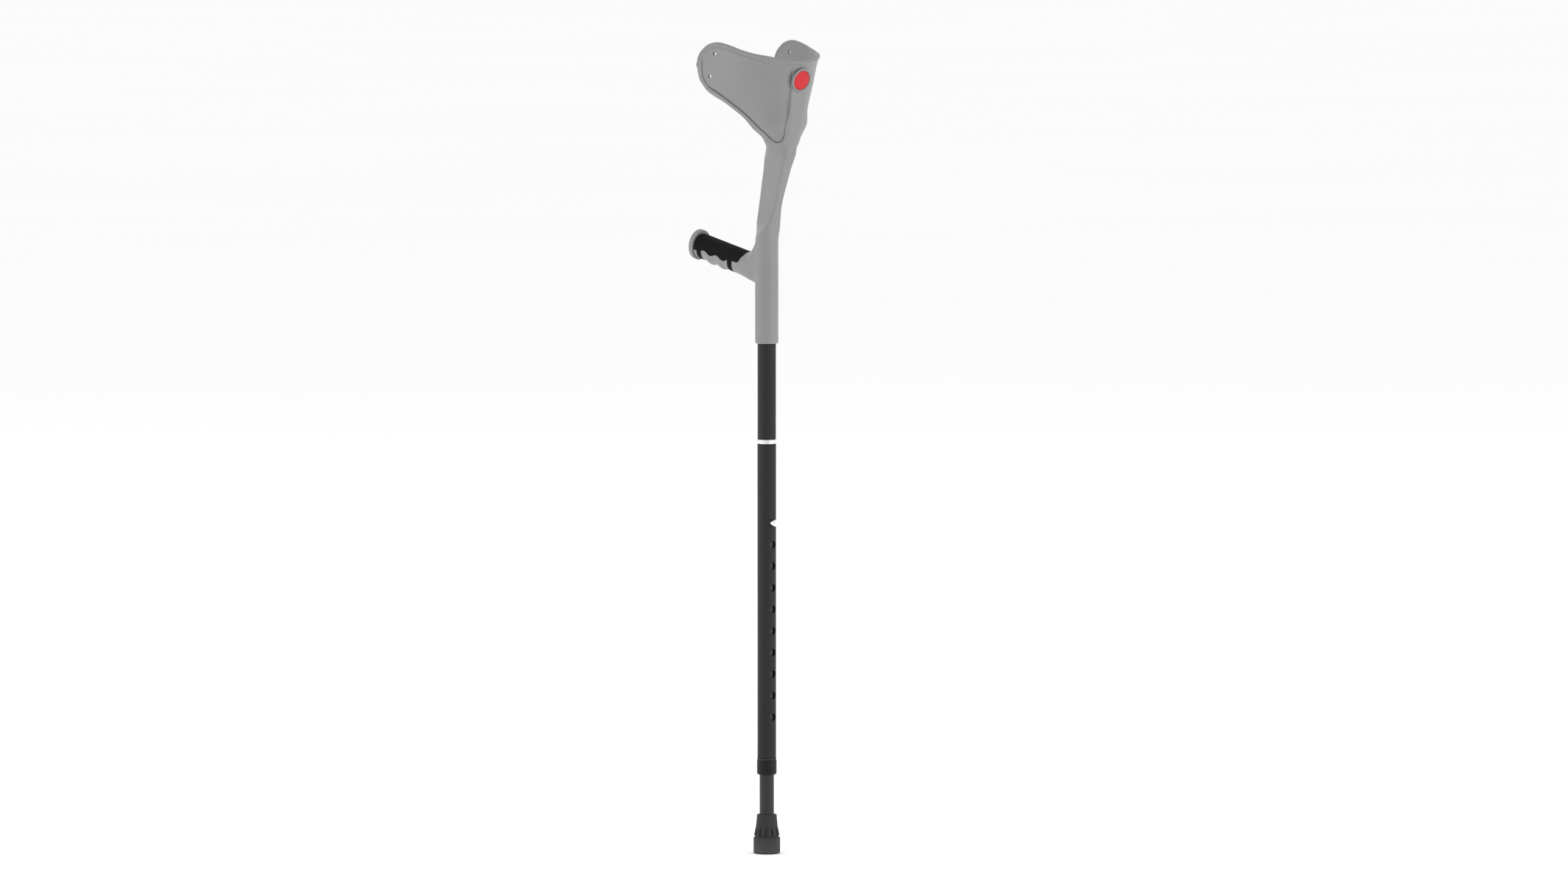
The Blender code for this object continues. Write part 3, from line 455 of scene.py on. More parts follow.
def lathe(name, profile, steps=128, closed=True, shape_radius=None):
    """A turned mesh; shape_radius may change the radius by angle and height."""
    mesh = bpy.data.meshes.new(name)
    shape = bmesh.new()
    rows = []
    for r, z in profile:
        if r < 1e-7:
            rows.append([shape.verts.new((0.0, 0.0, z))])
            continue
        row = []
        for i in range(steps):
            angle = TAU * i / steps
            radius = shape_radius(r, z, angle) if shape_radius else r
            row.append(shape.verts.new((radius * math.cos(angle), radius * math.sin(angle), z)))
        rows.append(row)
    pairs = list(zip(rows, rows[1:]))
    if closed:
        pairs.append((rows[-1], rows[0]))
    for upper, lower in pairs:
        for i in range(steps):
            j = (i + 1) % steps
            if len(upper) == 1 and len(lower) == 1:
                continue
            if len(upper) == 1:
                shape.faces.new((upper[0], lower[i], lower[j]))
            elif len(lower) == 1:
                shape.faces.new((upper[j], upper[i], lower[0]))
            else:
                shape.faces.new((upper[j], upper[i], lower[i], lower[j]))
    bmesh.ops.recalc_face_normals(shape, faces=shape.faces)
    shape.to_mesh(mesh)
    shape.free()
    soften(mesh)
    return link(name, mesh)


def loft(name, rings):
    """A closed mesh through rings with equal numbers of points."""
    mesh = bpy.data.meshes.new(name)
    shape = bmesh.new()
    rows = [[shape.verts.new(point) for point in ring] for ring in rings]
    count = len(rings[0])
    for low, high in zip(rows, rows[1:]):
        for i in range(count):
            j = (i + 1) % count
            shape.faces.new((low[i], low[j], high[j], high[i]))
    shape.faces.new(rows[0])
    shape.faces.new(rows[-1])
    bmesh.ops.recalc_face_normals(shape, faces=shape.faces)
    shape.to_mesh(mesh)
    shape.free()
    soften(mesh)
    return link(name, mesh)


def pin(name, radius, length, centre, axis, segments=64):
    """A round cutter."""
    mesh = bpy.data.meshes.new(name)
    shape = bmesh.new()
    bmesh.ops.create_cone(
        shape, cap_ends=True, segments=segments, radius1=radius, radius2=radius, depth=length,
        matrix=Matrix.Translation(centre) @ Vector(axis).to_track_quat("Z", "Y").to_matrix().to_4x4(),
    )
    shape.to_mesh(mesh)
    shape.free()
    return link(name, mesh)


def plate(name, outline, thickness, place):
    """A flat outline in X and Z, extruded to both sides of Y = 0 and then placed."""
    mesh = bpy.data.meshes.new(name)
    shape = bmesh.new()
    near = [shape.verts.new((x, -thickness / 2.0, z)) for x, z in outline]
    far = [shape.verts.new((x, thickness / 2.0, z)) for x, z in outline]
    count = len(outline)
    shape.faces.new(near)
    shape.faces.new(far[::-1])
    for i in range(count):
        j = (i + 1) % count
        shape.faces.new((near[i], far[i], far[j], near[j]))
    bmesh.ops.recalc_face_normals(shape, faces=shape.faces)
    bmesh.ops.transform(shape, matrix=place, verts=shape.verts)
    shape.to_mesh(mesh)
    shape.free()
    return link(name, mesh)


def merged(name, pieces):
    """Several overlapping closed meshes as one mesh."""
    shape = bmesh.new()
    for piece in pieces:
        copy = piece.data.copy()
        copy.transform(piece.matrix_world)
        shape.from_mesh(copy)
        bpy.data.meshes.remove(copy)
        discard(piece)
    mesh = bpy.data.meshes.new(name)
    shape.to_mesh(mesh)
    shape.free()
    return link(name, mesh)


def remeshed(made, voxel, smoothing):
    """One even skin over overlapping pieces, a little smoothed."""
    step = made.modifiers.new("remesh", "REMESH")
    step.mode = "VOXEL"
    step.voxel_size = voxel
    ease = made.modifiers.new("ease", "SMOOTH")
    ease.factor = 0.5
    ease.iterations = smoothing
    return baked(made)


# ------------------------------------------------------------------ curves and sections

def smooth(value):
    value = min(1.0, max(0.0, value))
    return value * value * (3.0 - 2.0 * value)


def through(stations, at):
    """Values at one place along a smooth curve through stations, sorted by their first number."""
    last = len(stations) - 1
    i = 0
    while i < last - 1 and at > stations[i + 1][0]:
        i += 1
    low, high = stations[i], stations[i + 1]
    before, after = stations[max(i - 1, 0)], stations[min(i + 2, last)]
    span = high[0] - low[0]
    f = min(1.0, max(0.0, (at - low[0]) / span))
    values = []
    for a, b, c, d in zip(before[1:], low[1:], high[1:], after[1:]):
        start = (c - a) / max(high[0] - before[0], span) * span
        end = (d - b) / max(after[0] - low[0], span) * span
        values.append(
            (2 * f**3 - 3 * f**2 + 1) * b
            + (f**3 - 2 * f**2 + f) * start
            + (3 * f**2 - 2 * f**3) * c
            + (f**3 - f**2) * end
        )
    return values


def squircle(half_x, half_y, power, count):
    """Points round a superellipse, from power 2, an ellipse, towards a rounded box."""
    points = []
    for i in range(count):
        c = math.cos(TAU * i / count)
        s = math.sin(TAU * i / count)
        size = (abs(c) ** power + abs(s) ** power) ** (-1.0 / power)
        points.append((half_x * c * size, half_y * s * size))
    return points


# ------------------------------------------------------------------ moulding

def cuff_point(t, z, offset=0.0):
    """A point of the cuff: t runs from the back (0) to a wing's front end (1 or -1)."""
    w = min(1.05, max(0.0, (z - CUFF_FOOT) / (CUFF_HEAD - CUFF_FOOT)))
    left = max(0.0, 1.0 - w)
    bulge = CUFF_BULGE * math.exp(-((z - CUFF_BULGE_Z) / CUFF_BULGE_REACH) ** 2)
    push = CUFF_PUSH * math.exp(-((z - CUFF_PUSH_Z) / CUFF_PUSH_REACH) ** 2)
    quick = 1.0 - left**2.3
    mix = (1.0 - left**1.25, w + bulge, quick, quick)
    control = [
        (a[0] + (b[0] - a[0]) * k, a[1] + (b[1] - a[1]) * k)
        for a, b, k in zip(CUFF_FOOT_POINTS, CUFF_HEAD_POINTS, mix)
    ]
    control[0] = (control[0][0] - push, 0.0)
    control[1] = (control[0][0], control[1][1])
    u = abs(t)
    weights = ((1 - u) ** 3, 3 * (1 - u) ** 2 * u, 3 * (1 - u) * u * u, u**3)
    x = sum(k * p[0] for k, p in zip(weights, control))
    y = sum(k * p[1] for k, p in zip(weights, control))
    slopes = ((1 - u) ** 2, 2 * (1 - u) * u, u * u)
    steps = [(b[0] - a[0], b[1] - a[1]) for a, b in zip(control, control[1:])]
    dx = sum(k * p[0] for k, p in zip(slopes, steps))
    dy = sum(k * p[1] for k, p in zip(slopes, steps))
    size = math.hypot(dx, dy)
    side = math.copysign(1.0, t) if t else 1.0
    return Vector((x * MM - offset * dy / size, side * (y * MM + offset * dx / size), z))


def edge_heights(t):
    return through(CUFF_LOW_EDGE, abs(t))[0] * MM, through(CUFF_HIGH_EDGE, abs(t))[0] * MM


def cuff_column(t, trim=0.0, fullness=1.0, levels=26):
    """The section of the cuff's sheet at t, with round edges and a bead along the top."""
    low, high = edge_heights(t)
    low += trim
    high -= trim
    half = SHEET / 2.0 * fullness
    span = high - low
    turn = [half * (1.0 - math.cos(math.pi / 2.0 * k / 5.0)) for k in range(1, 6)]
    heights = [low + h for h in turn]
    top = [high - h for h in turn[::-1]]
    first, last = heights[-1], top[0] - BEAD_HEIGHT
    heights += [first + (last - first) * k / levels for k in range(1, levels + 1)]
    heights += [last + BEAD_HEIGHT * k / 9.0 for k in range(1, 9)]
    heights += top
    outer = []
    inner = []
    for z in heights:
        below, above = z - low, high - z
        close = min(below, above, half)
        round_off = math.sqrt(max(0.0, 1.0 - (1.0 - close / half) ** 2))
        bead = LIP * smooth((4.4 * MM - above) / (1.1 * MM)) * round_off * min(1.0, span / (30.0 * MM))
        outer.append(cuff_point(t, z, half * round_off + bead))
        inner.append(cuff_point(t, z, -half * round_off - 0.6 * bead))
    return [cuff_point(t, low)] + outer + [cuff_point(t, high, LIP * 0.3)] + inner[::-1]


def cuff_rings():
    places = []
    for start, end, steps in ((0.0, 0.66, 44), (0.66, 0.80, 24), (0.80, 0.94, 20), (0.94, 1.0, 16)):
        places += [start + (end - start) * i / steps for i in range(steps)]
    half = [cuff_column(t) for t in places]
    half += [cuff_column(1.0), cuff_column(1.005, 0.6 * MM, 0.85), cuff_column(1.009, 1.6 * MM, 0.55)]
    other = [[Vector((p.x, -p.y, p.z)) for p in ring] for ring in half[1:]]
    return other[::-1] + half


def arm_rings(levels=110, count=120):
    """Sleeve and arm; the flat sides run out into the round sleeve lower at the front."""
    rings = []
    sleeve = SLEEVE_R / MM
    low = SLEEVE_END - 5.0
    heights = [SLEEVE_FOOT, 600.4, 601.4, SLEEVE_ROUNDED, 640.0, 690.0]
    heights += [low + (ARM_TOP - low) * i / levels for i in range(levels + 1)]
    for z in heights:
        if z <= SLEEVE_ROUNDED:
            drop = (SLEEVE_ROUNDED - z) / (SLEEVE_ROUNDED - SLEEVE_FOOT)
            radius = sleeve - 0.9 * (1.0 - math.sqrt(max(0.0, 1.0 - drop**2)))
            circle = squircle(radius, radius, 2.0, count)
            rings.append([Vector((x * MM, y * MM, z * MM)) for x, y in circle])
            continue
        centre, half_x, _, power = through(ARM, z) if z > SLEEVE_END else (0.0, sleeve, sleeve, 2.0)
        ring = []
        for x, y in squircle(half_x, 1.0, power, count):
            lean = z + 9.0 * x / half_x if z < 770.0 else z
            lean = lean if z < 750.0 else lean + (z - lean) * smooth((z - 750.0) / 20.0)
            wide = through(ARM, lean)[2] if lean > SLEEVE_END else sleeve
            ring.append(Vector(((centre + x) * MM, y * wide * MM, z * MM)))
        rings.append(ring)
    return rings


def spine_face(z):
    return through(SPINE, z / MM)[0] * MM


def spine_rings(levels=60, count=64):
    rings = []
    low, high = SPINE[0][0], SPINE[-1][0]
    for i in range(levels + 1):
        z = low + (high - low) * i / levels
        face, half_y = through(SPINE, z)
        depth = SPINE_DEPTH / 2.0
        rings.append([
            Vector((face * MM + depth + x, y, z * MM)) for x, y in squircle(depth, half_y * MM, 3.6, count)
        ])
    return rings


def neck_rings(count=60):
    """Solid bottom of the cuff's funnel: it swells out of the arm and ends in a front that slopes back."""
    rings = []
    z = NECK[0][0]
    while z <= NECK[-1][0]:
        reach, offset, slim, shift = through(NECK, z)
        ring = [cuff_point(reach * (2.0 * k / count - 1.0), z * MM, offset * MM) for k in range(count + 1)]
        rings.append([Vector((p.x + shift * MM, p.y * slim, z * MM)) for p in ring])
        z += 1.0
    return rings


def handle_world():
    return Matrix.Translation((0.0, 0.0, HANDLE_Z)) @ Matrix.Rotation(-HANDLE_TILT, 4, "Y")


def handle_section(s, inset, count):
    """Oval across the handle at s, drawn in by inset."""
    s_mm = s / MM
    under = through(HANDLE_UNDERSIDE, s_mm)[0]
    fade = smooth((s_mm - 57.0) / 6.0) * smooth((107.0 - s_mm) / 6.0)
    under -= BUMP_HEIGHT * fade * math.cos(TAU * (s_mm - BUMP_AT) / BUMP_PITCH)
    root = min(1.0, max(0.0, (ROOT_END - s_mm) / ROOT_REACH))
    top = HANDLE_TOP + ROOT_FLARE * root**2.4
    half_n = (top - under) / 2.0 * MM - inset
    half_y = HANDLE_HALF_WIDTH - 0.4 * MM * root - inset
    centre = (top + under) / 2.0 * MM
    return [Vector((s, y, centre + n)) for n, y in squircle(half_n, half_y, HANDLE_POWER, count)]


def handle_body(name, inset, start, end, stations=100, count=96):
    places = [start + (end - start) * i / stations for i in range(stations + 1)]
    made = loft(name, [handle_section(s, inset, count) for s in places])
    made.data.transform(handle_world())
    return made


def scallop(s):
    """Lower edge of the pad along the handle."""
    return (SCALLOP_MIDDLE - SCALLOP_RISE * math.cos(TAU * (s / MM - SCALLOP_AT) / SCALLOP_PITCH)) * MM


def pad_outline(grow):
    """Side view of the pad: a scalloped lower edge and two bands that reach round underneath."""
    start = PAD_START - grow
    end = HANDLE_END - GAP + 8.0 * grow
    below = -PAD_ABOVE
    points = [
        (start, PAD_ABOVE),
        (start, 14.0 * MM),
        (34.0 * MM - grow, 12.0 * MM),
        (35.4 * MM - grow, 10.0 * MM),
        (36.6 * MM - grow, 7.4 * MM),
        (37.3 * MM - grow, 5.2 * MM - 0.5 * grow),
        (38.6 * MM - grow, 3.3 * MM - grow),
        (41.0 * MM - grow, 2.1 * MM - grow),
        (45.0 * MM, 1.6 * MM - grow),
    ]
    for i, band in enumerate(BAND_S):
        first = BAND_S[0] + BAND_HALF + grow
        last = band - BAND_HALF - grow
        for k in range(41 if i else 0):
            s = first + (last - first) * k / 40
            points.append((s, scallop(s) - grow))
        if i == 0:
            points.append((last, 1.8 * MM - grow))
        points.append((band - BAND_HALF - grow, below))
        points.append((band + BAND_HALF + grow, below))
    points.append((BAND_S[1] + BAND_HALF + grow, scallop(BAND_S[1]) - grow))
    points.append((end, scallop(BAND_S[1]) - grow))
    points.append((end, PAD_ABOVE))
    return points


def wing_place(x, z):
    """The cuff's t at which its middle surface passes x, at height z."""
    low, high = 0.5, 1.0
    for _ in range(30):
        middle = (low + high) / 2.0
        if cuff_point(middle, z).x < x:
            low = middle
        else:
            high = middle
    return (low + high) / 2.0


def panel_curve(steps=14):
    """The panel's outline as a dense smooth loop of (t, z)."""
    count = len(PANEL)
    loop = []
    for i in range(count):
        a, b, c, d = (PANEL[(i + k) % count] for k in (-1, 0, 1, 2))
        for k in range(steps):
            f = k / steps
            loop.append(tuple(
                0.5 * (
                    2 * q + (r - p) * f + (2 * p - 5 * q + 4 * r - s) * f * f
                    + (3 * q - p - 3 * r + s) * f**3
                )
                for p, q, r, s in zip(a, b, c, d)
            ))
    return [(t, z * MM) for t, z in loop]


def inside(loop, t, z):
    """Whether (t, z) is inside a closed loop."""
    hit = False
    for (t0, z0), (t1, z1) in zip(loop, loop[1:] + loop[:1]):
        if (z0 > z) != (z1 > z) and t < t0 + (t1 - t0) * (z - z0) / (z1 - z0):
            hit = not hit
    return hit


def carve_panels(mesh):
    """Sinks the outer face of each wing inside the panel's outline."""
    loop = panel_curve()
    border = KDTree(len(loop))
    for i, (t, z) in enumerate(loop):
        border.insert(cuff_point(t, z, SHEET / 2.0), i)
    border.balance()
    places = []
    for i in range(251):
        t = i / 250.0
        low, high = edge_heights(t)
        z = max(low, 832.0 * MM)
        while z < high:
            places.append((t, z))
            z += 1.0 * MM
    skin = KDTree(len(places))
    facts = []
    for i, (t, z) in enumerate(places):
        point = cuff_point(t, z, SHEET / 2.0)
        skin.insert(point, i)
        facts.append((t, (point - cuff_point(t, z)).normalized()))
    skin.balance()
    for vert in mesh.vertices:
        if vert.co.z < 830.0 * MM:
            continue
        spot = Vector((vert.co.x, abs(vert.co.y), vert.co.z))
        point, i, gap = skin.find(spot)
        if gap > 2.6 * MM:
            continue
        t, out = facts[i]
        above = (spot - point).dot(out)
        if above < -1.3 * MM:
            continue
        lying = spot - out * above
        _, _, far = border.find(lying)
        if far > 3.0 * MM and not inside(loop, t, vert.co.z):
            continue
        depth = far if inside(loop, t, vert.co.z) else -far
        _, high = edge_heights(t)
        shallow = 1.0 - 0.7 * smooth((vert.co.z - high + 15.0 * MM) / (8.0 * MM))
        sunk = PANEL_DEPTH * smooth(0.5 + depth / PANEL_WALL)
        front = 1.0 - 0.6 * smooth((t - 0.93) / 0.03)
        groove = (0.4 + 0.6 * smooth((t - 0.12) / 0.15)) * front * MM
        sunk += groove * math.exp(-((depth - GROOVE_AT) / GROOVE_HALF) ** 2)
        move = out * sunk * shallow
        vert.co.x -= move.x
        vert.co.y -= math.copysign(move.y, vert.co.y)


def reflector_frame():
    """The reflector's own frame, +Z out of the spine's face."""
    outward = Vector((-math.cos(REFLECTOR_TILT), 0.0, -math.sin(REFLECTOR_TILT)))
    place = Vector((spine_face(REFLECTOR_Z), 0.0, REFLECTOR_Z))
    return Matrix.Translation(place) @ outward.to_track_quat("Z", "Y").to_matrix().to_4x4()


def ease_near(made, spots, spread):
    """Smooths a few places until their edges are rounded over about the spread."""
    group = made.vertex_groups.new(name="ease")
    for vert in made.data.vertices:
        weight = 0.0
        for (x, y, z), reach in spots:
            away = (Vector((vert.co.x, abs(vert.co.y), vert.co.z)) - Vector((x, y, z))).length
            weight = max(weight, smooth(1.5 - away / reach))
        if weight > 0.0:
            group.add([vert.index], weight, "REPLACE")
    step = made.modifiers.new("ease", "SMOOTH")
    step.factor = 0.5
    step.iterations = int(2.0 * (spread / VOXEL) ** 2)
    step.vertex_group = group.name
    baked(made)
    made.vertex_groups.clear()


def make_moulding():
    parts = [
        loft("arm", arm_rings()),
        handle_body("handle_core", 0.0, 2.0 * MM, HANDLE_END),
        loft("cuff", cuff_rings()),
        loft("spine", spine_rings()),
        loft("neck", neck_rings()),
    ]
    body = remeshed(merged("moulding_skin", parts), VOXEL, 4)
    ease_near(body, (((-9.0 * MM, 13.0 * MM, 838.0 * MM), 17.0 * MM),), 9.0 * MM)
    ease_near(
        body,
        (
            ((15.0 * MM, 0.0, 726.0 * MM), 12.0 * MM),
            ((14.0 * MM, 8.0 * MM, 716.0 * MM), 12.0 * MM),
            ((13.0 * MM, 9.0 * MM, 675.0 * MM), 6.0 * MM),
            ((-36.0 * MM, 6.0 * MM, 812.0 * MM), 9.0 * MM),
        ),
        3.0 * MM,
    )
    carve_panels(body.data)
    space = cut(
        handle_body("pad_space", -1.5 * MM, 8.0 * MM, HANDLE_END + 4.0 * MM),
        [plate("pad_zone", pad_outline(GAP), 60.0 * MM, handle_world())],
        "INTERSECT",
    )
    cut(space, [handle_body("pad_floor", PAD + GAP, 2.0 * MM, HANDLE_END + 9.0 * MM)])
    socket_top = UPPER_TUBE_TOP + GAP
    socket_low = SLEEVE_BOTTOM - 2.0 * MM
    tilt = reflector_frame()
    outward = tilt.to_3x3() @ Vector((0.0, 0.0, 1.0))
    cutters = [
        space,
        pin(
            "socket", UPPER_TUBE_R + GAP, socket_top - socket_low,
            (0.0, 0.0, (socket_top + socket_low) / 2.0), (0, 0, 1), 128,
        ),
        pin(
            "core", CORE_BORE_R, 2.0 * CORE_BORE_DEPTH, handle_world() @ Vector((HANDLE_END, 0.0, CORE_N)),
            handle_world().to_3x3() @ Vector((1.0, 0.0, 0.0)),
        ),
        pin("rivet", 2.3 * MM, 12.0 * MM, (0.0, -12.0 * MM, SLEEVE_RIVET_Z), (0, -1, 0), 32),
        pin("seat", BEZEL_R + GAP, 12.0 * MM, tilt @ Vector((0.0, 0.0, 5.8 * MM)), outward, 96),
        pin("peg", BEZEL_PEG_R + GAP, 30.0 * MM, tilt @ Vector((0.0, 0.0, 0.0)), outward, 48),
    ]
    for x, z in WING_HOLES:
        for side in (1.0, -1.0):
            t = wing_place(x, z)
            point = cuff_point(side * t, z)
            through_sheet = cuff_point(side * t, z, SHEET) - point
            cutters.append(pin("wing_hole", WING_HOLE_R, 3.0 * SHEET, point, through_sheet, 32))
    cut(body, cutters, solver="MANIFOLD")
    soften(body.data, 38.0)
    return body


def make_pad():
    pad = cut(
        handle_body("grip_skin", 0.0, 8.0 * MM, HANDLE_END + 4.0 * MM),
        [plate("pad_side", pad_outline(0.0), 60.0 * MM, handle_world())],
        "INTERSECT",
    )
    cut(pad, [handle_body("pad_inside", PAD, 2.0 * MM, HANDLE_END + 9.0 * MM)])
    remeshed(pad, PAD_VOXEL, 4)
    pad.data.shade_smooth()
    return pad


def make_end_cap():
    """Flange at the handle's outer end, with its plug."""
    start = HANDLE_END + GAP
    plug_r = CORE_BORE_R - GAP
    outline = fillets((
        (FLANGE_R, start, 1.0 * MM),
        (FLANGE_R, start + FLANGE_THICK, 3.0 * MM),
        (0.6 * MM, start + FLANGE_THICK + 0.9 * MM, 0.0),
    ), 10)
    plug = [(plug_r - 0.6 * MM, start - 10.0 * MM), (plug_r, start - 9.2 * MM), (plug_r, start)]
    face = start + FLANGE_THICK
    outline = plug + outline[:-1] + [(9.0 * MM, face + 0.1 * MM), (3.0 * MM, face + 0.2 * MM)]
    rings = []
    for radius, s in outline:
        narrow = 3.8 * MM * smooth((radius - plug_r) / (8.0 * MM))
        rise = FLANGE_RISE if s >= start and radius != plug_r else 0.0
        rings.append([
            Vector((s, y, CORE_N + rise + n)) for n, y in squircle(radius, radius - narrow, 2.0, 128)
        ])
    cap = loft("end_cap_skin", rings)
    cap.data.transform(handle_world())
    return cap


# ------------------------------------------------------------------ reflector

def make_reflector():
    """Bezel with its peg, and the domed lens in it."""
    bore = LENS_R + GAP
    bezel = lathe("bezel_skin", fillets((
        (bore + 0.2 * MM, BEZEL_RIM, 0.3 * MM),
        (BEZEL_R, BEZEL_RIM, 0.7 * MM),
        (BEZEL_R, 0.2 * MM, 0.2 * MM),
        (BEZEL_PEG_R, 0.2 * MM, 0.2 * MM),
        (BEZEL_PEG_R, -6.0 * MM, 0.3 * MM),
        (2.4 * MM, -7.0 * MM, 0.2 * MM),
        (0.0, -7.0 * MM, 0.0),
        (0.0, BEZEL_FLOOR, 0.0),
        (bore, BEZEL_FLOOR, 0.0),
        (bore, BEZEL_RIM - 0.5 * MM, 0.15 * MM),
    )), 160)
    low = BEZEL_FLOOR + GAP + 0.8 * MM
    edge = BEZEL_RIM - 0.5 * MM
    crown = 0.7 * MM
    dome = [(LENS_R * k / 12.0, edge + crown * (1.0 - (k / 12.0) ** 2)) for k in range(12)]
    lens = lathe("lens_skin", dome + fillets((
        (LENS_R, edge, 0.2 * MM),
        (LENS_R, low, 0.0),
        (0.0, low, 0.0),
    )), 128, closed=False)
    for piece in (bezel, lens):
        piece.data.transform(reflector_frame())
    return bezel, lens


# ------------------------------------------------------------------ tubes and small turned pieces

def tube_profile(radius, bore, low, high, pitch=6.0 * MM):
    """Outer wall down, inner wall up, with broken edges."""
    edge = 0.25 * MM
    count = max(2, int((high - low) / pitch))
    heights = [low + edge + (high - low - 2.0 * edge) * k / count for k in range(count + 1)]
    profile = [(radius - edge, high)] + [(radius, z) for z in heights[::-1]] + [(radius - edge, low)]
    profile += [(bore + edge, low)] + [(bore, z) for z in heights] + [(bore + edge, high)]
    return profile


def make_upper_tube():
    piece = lathe("upper_tube_skin", tube_profile(
        UPPER_TUBE_R, UPPER_TUBE_R - WALL, RING_Z[1] + GAP, UPPER_TUBE_TOP
    ), 144)
    cut(piece, [
        pin("bore", RIVET_R + GAP, 24.0 * MM, (12.0 * MM, 0.0, RIVET_Z[0]), (1, 0, 0), 32),
        pin("bore", RIVET_R + GAP, 24.0 * MM, (0.0, -12.0 * MM, SLEEVE_RIVET_Z), (0, -1, 0), 32),
    ])
    soften(piece.data)
    return piece


def make_main_tube():
    piece = lathe("main_tube_skin", tube_profile(
        MAIN_TUBE_R, MAIN_TUBE_R - WALL, LIP_TOP + GAP, RING_Z[0] - GAP
    ), 144)
    cutters = [pin("bore", RIVET_R + GAP, 24.0 * MM, (12.0 * MM, 0.0, RIVET_Z[1]), (1, 0, 0), 32)]
    for i in range(HOLE_COUNT):
        centre = (-MAIN_TUBE_R, 0.0, TOP_HOLE_Z - i * HOLE_PITCH)
        cutters.append(pin("hole", HOLE_R, 12.0 * MM, centre, (1, 0, 0), 56))
    cut(piece, cutters)
    soften(piece.data)
    return piece


def make_inner_tube():
    piece = lathe("leg_tube_skin", tube_profile(INNER_TUBE_R, INNER_TUBE_R - WALL, *INNER_TUBE_Z), 128)
    cut(piece, [pin("hole", HOLE_R, 8.0 * MM, (-INNER_TUBE_R, 0.0, TOP_HOLE_Z), (1, 0, 0), 56)])
    soften(piece.data)
    return piece


def make_ring():
    low, high = RING_Z
    middle = (low + high) / 2.0
    outer = MAIN_TUBE_R
    bore = UPPER_TUBE_R - WALL + GAP
    return lathe("ring_skin", fillets((
        (outer, high, 0.5 * MM),
        (outer, middle + 0.45 * MM, 0.3 * MM),
        (outer - 0.4 * MM, middle, 0.3 * MM),
        (outer, middle - 0.45 * MM, 0.3 * MM),
        (outer, low, 0.5 * MM),
        (bore, low, 0.2 * MM),
        (bore, high, 0.2 * MM),
    ), 6), 144)


def make_bush():
    outer = MAIN_TUBE_R - WALL - GUIDE_GAP
    bore = INNER_TUBE_R + GUIDE_GAP
    lip = 11.3 * MM
    low = COLLAR_Z[0] + 7.3 * MM
    step = COLLAR_Z[1] + GAP
    return lathe("bush_skin", fillets((
        (outer - 0.2 * MM, LIP_TOP + 23.0 * MM, 0.2 * MM),
        (outer, LIP_TOP + 22.0 * MM, 0.3 * MM),
        (outer, LIP_TOP, 0.0),
        (lip, LIP_TOP, 0.6 * MM),
        (lip, step, 0.15 * MM),
        (outer + 0.6 * MM, step, 0.0),
        (outer + 0.6 * MM, low, 0.2 * MM),
        (bore, low, 0.2 * MM),
        (bore, LIP_TOP + 23.0 * MM, 0.2 * MM),
    )), 144)


def make_collar():
    low, high = COLLAR_Z
    outer = 11.6 * MM
    bore = INNER_TUBE_R + GAP
    skirt = MAIN_TUBE_R - WALL - GUIDE_GAP + 0.6 * MM + GAP
    return lathe("collar_skin", fillets((
        (outer, high, 0.35 * MM),
        (outer, low, 2.3 * MM),
        (bore, low, 0.5 * MM),
        (bore, low + 7.0 * MM, 0.1 * MM),
        (skirt, low + 7.0 * MM, 0.1 * MM),
        (skirt, high, 0.2 * MM),
    ), 10), 144)


def make_button():
    dome = BUTTON_TIP - BUTTON_R
    profile = [(0.0, BUTTON_TIP)]
    for k in range(1, 19):
        angle = math.pi / 2.0 * k / 18
        profile.append((BUTTON_R * math.sin(angle), dome + BUTTON_R * math.cos(angle)))
    flange_r = 4.9 * MM
    profile += fillets((
        (BUTTON_R, BUTTON_FLANGE, 0.0),
        (flange_r, BUTTON_FLANGE, 0.2 * MM),
        (flange_r, BUTTON_FLANGE - 0.8 * MM, 0.2 * MM),
        (0.0, BUTTON_FLANGE - 0.8 * MM, 0.0),
    ))
    piece = lathe("button_skin", profile, 96, closed=False)
    turn = Vector((-1.0, 0.0, 0.0)).to_track_quat("Z", "Y").to_matrix().to_4x4()
    piece.data.transform(Matrix.Translation((0.0, 0.0, TOP_HOLE_Z)) @ turn)
    return piece


def make_rivet(name, x, y, z, surface_r, reach):
    profile = [(0.0, RIVET_HEAD)]
    for k in range(1, 11):
        angle = math.pi / 2.0 * k / 10
        profile.append((RIVET_HEAD_R * math.sin(angle), RIVET_HEAD * math.cos(angle)))
    profile += [(RIVET_R, 0.0), (RIVET_R, -reach + 0.3 * MM), (RIVET_R - 0.3 * MM, -reach), (0.0, -reach)]
    piece = lathe(name, profile, 64, closed=False)
    outward = Vector((x, y, 0.0))
    place = outward * (surface_r + GAP) + Vector((0.0, 0.0, z))
    piece.data.transform(Matrix.Translation(place) @ outward.to_track_quat("Z", "Y").to_matrix().to_4x4())
    return piece


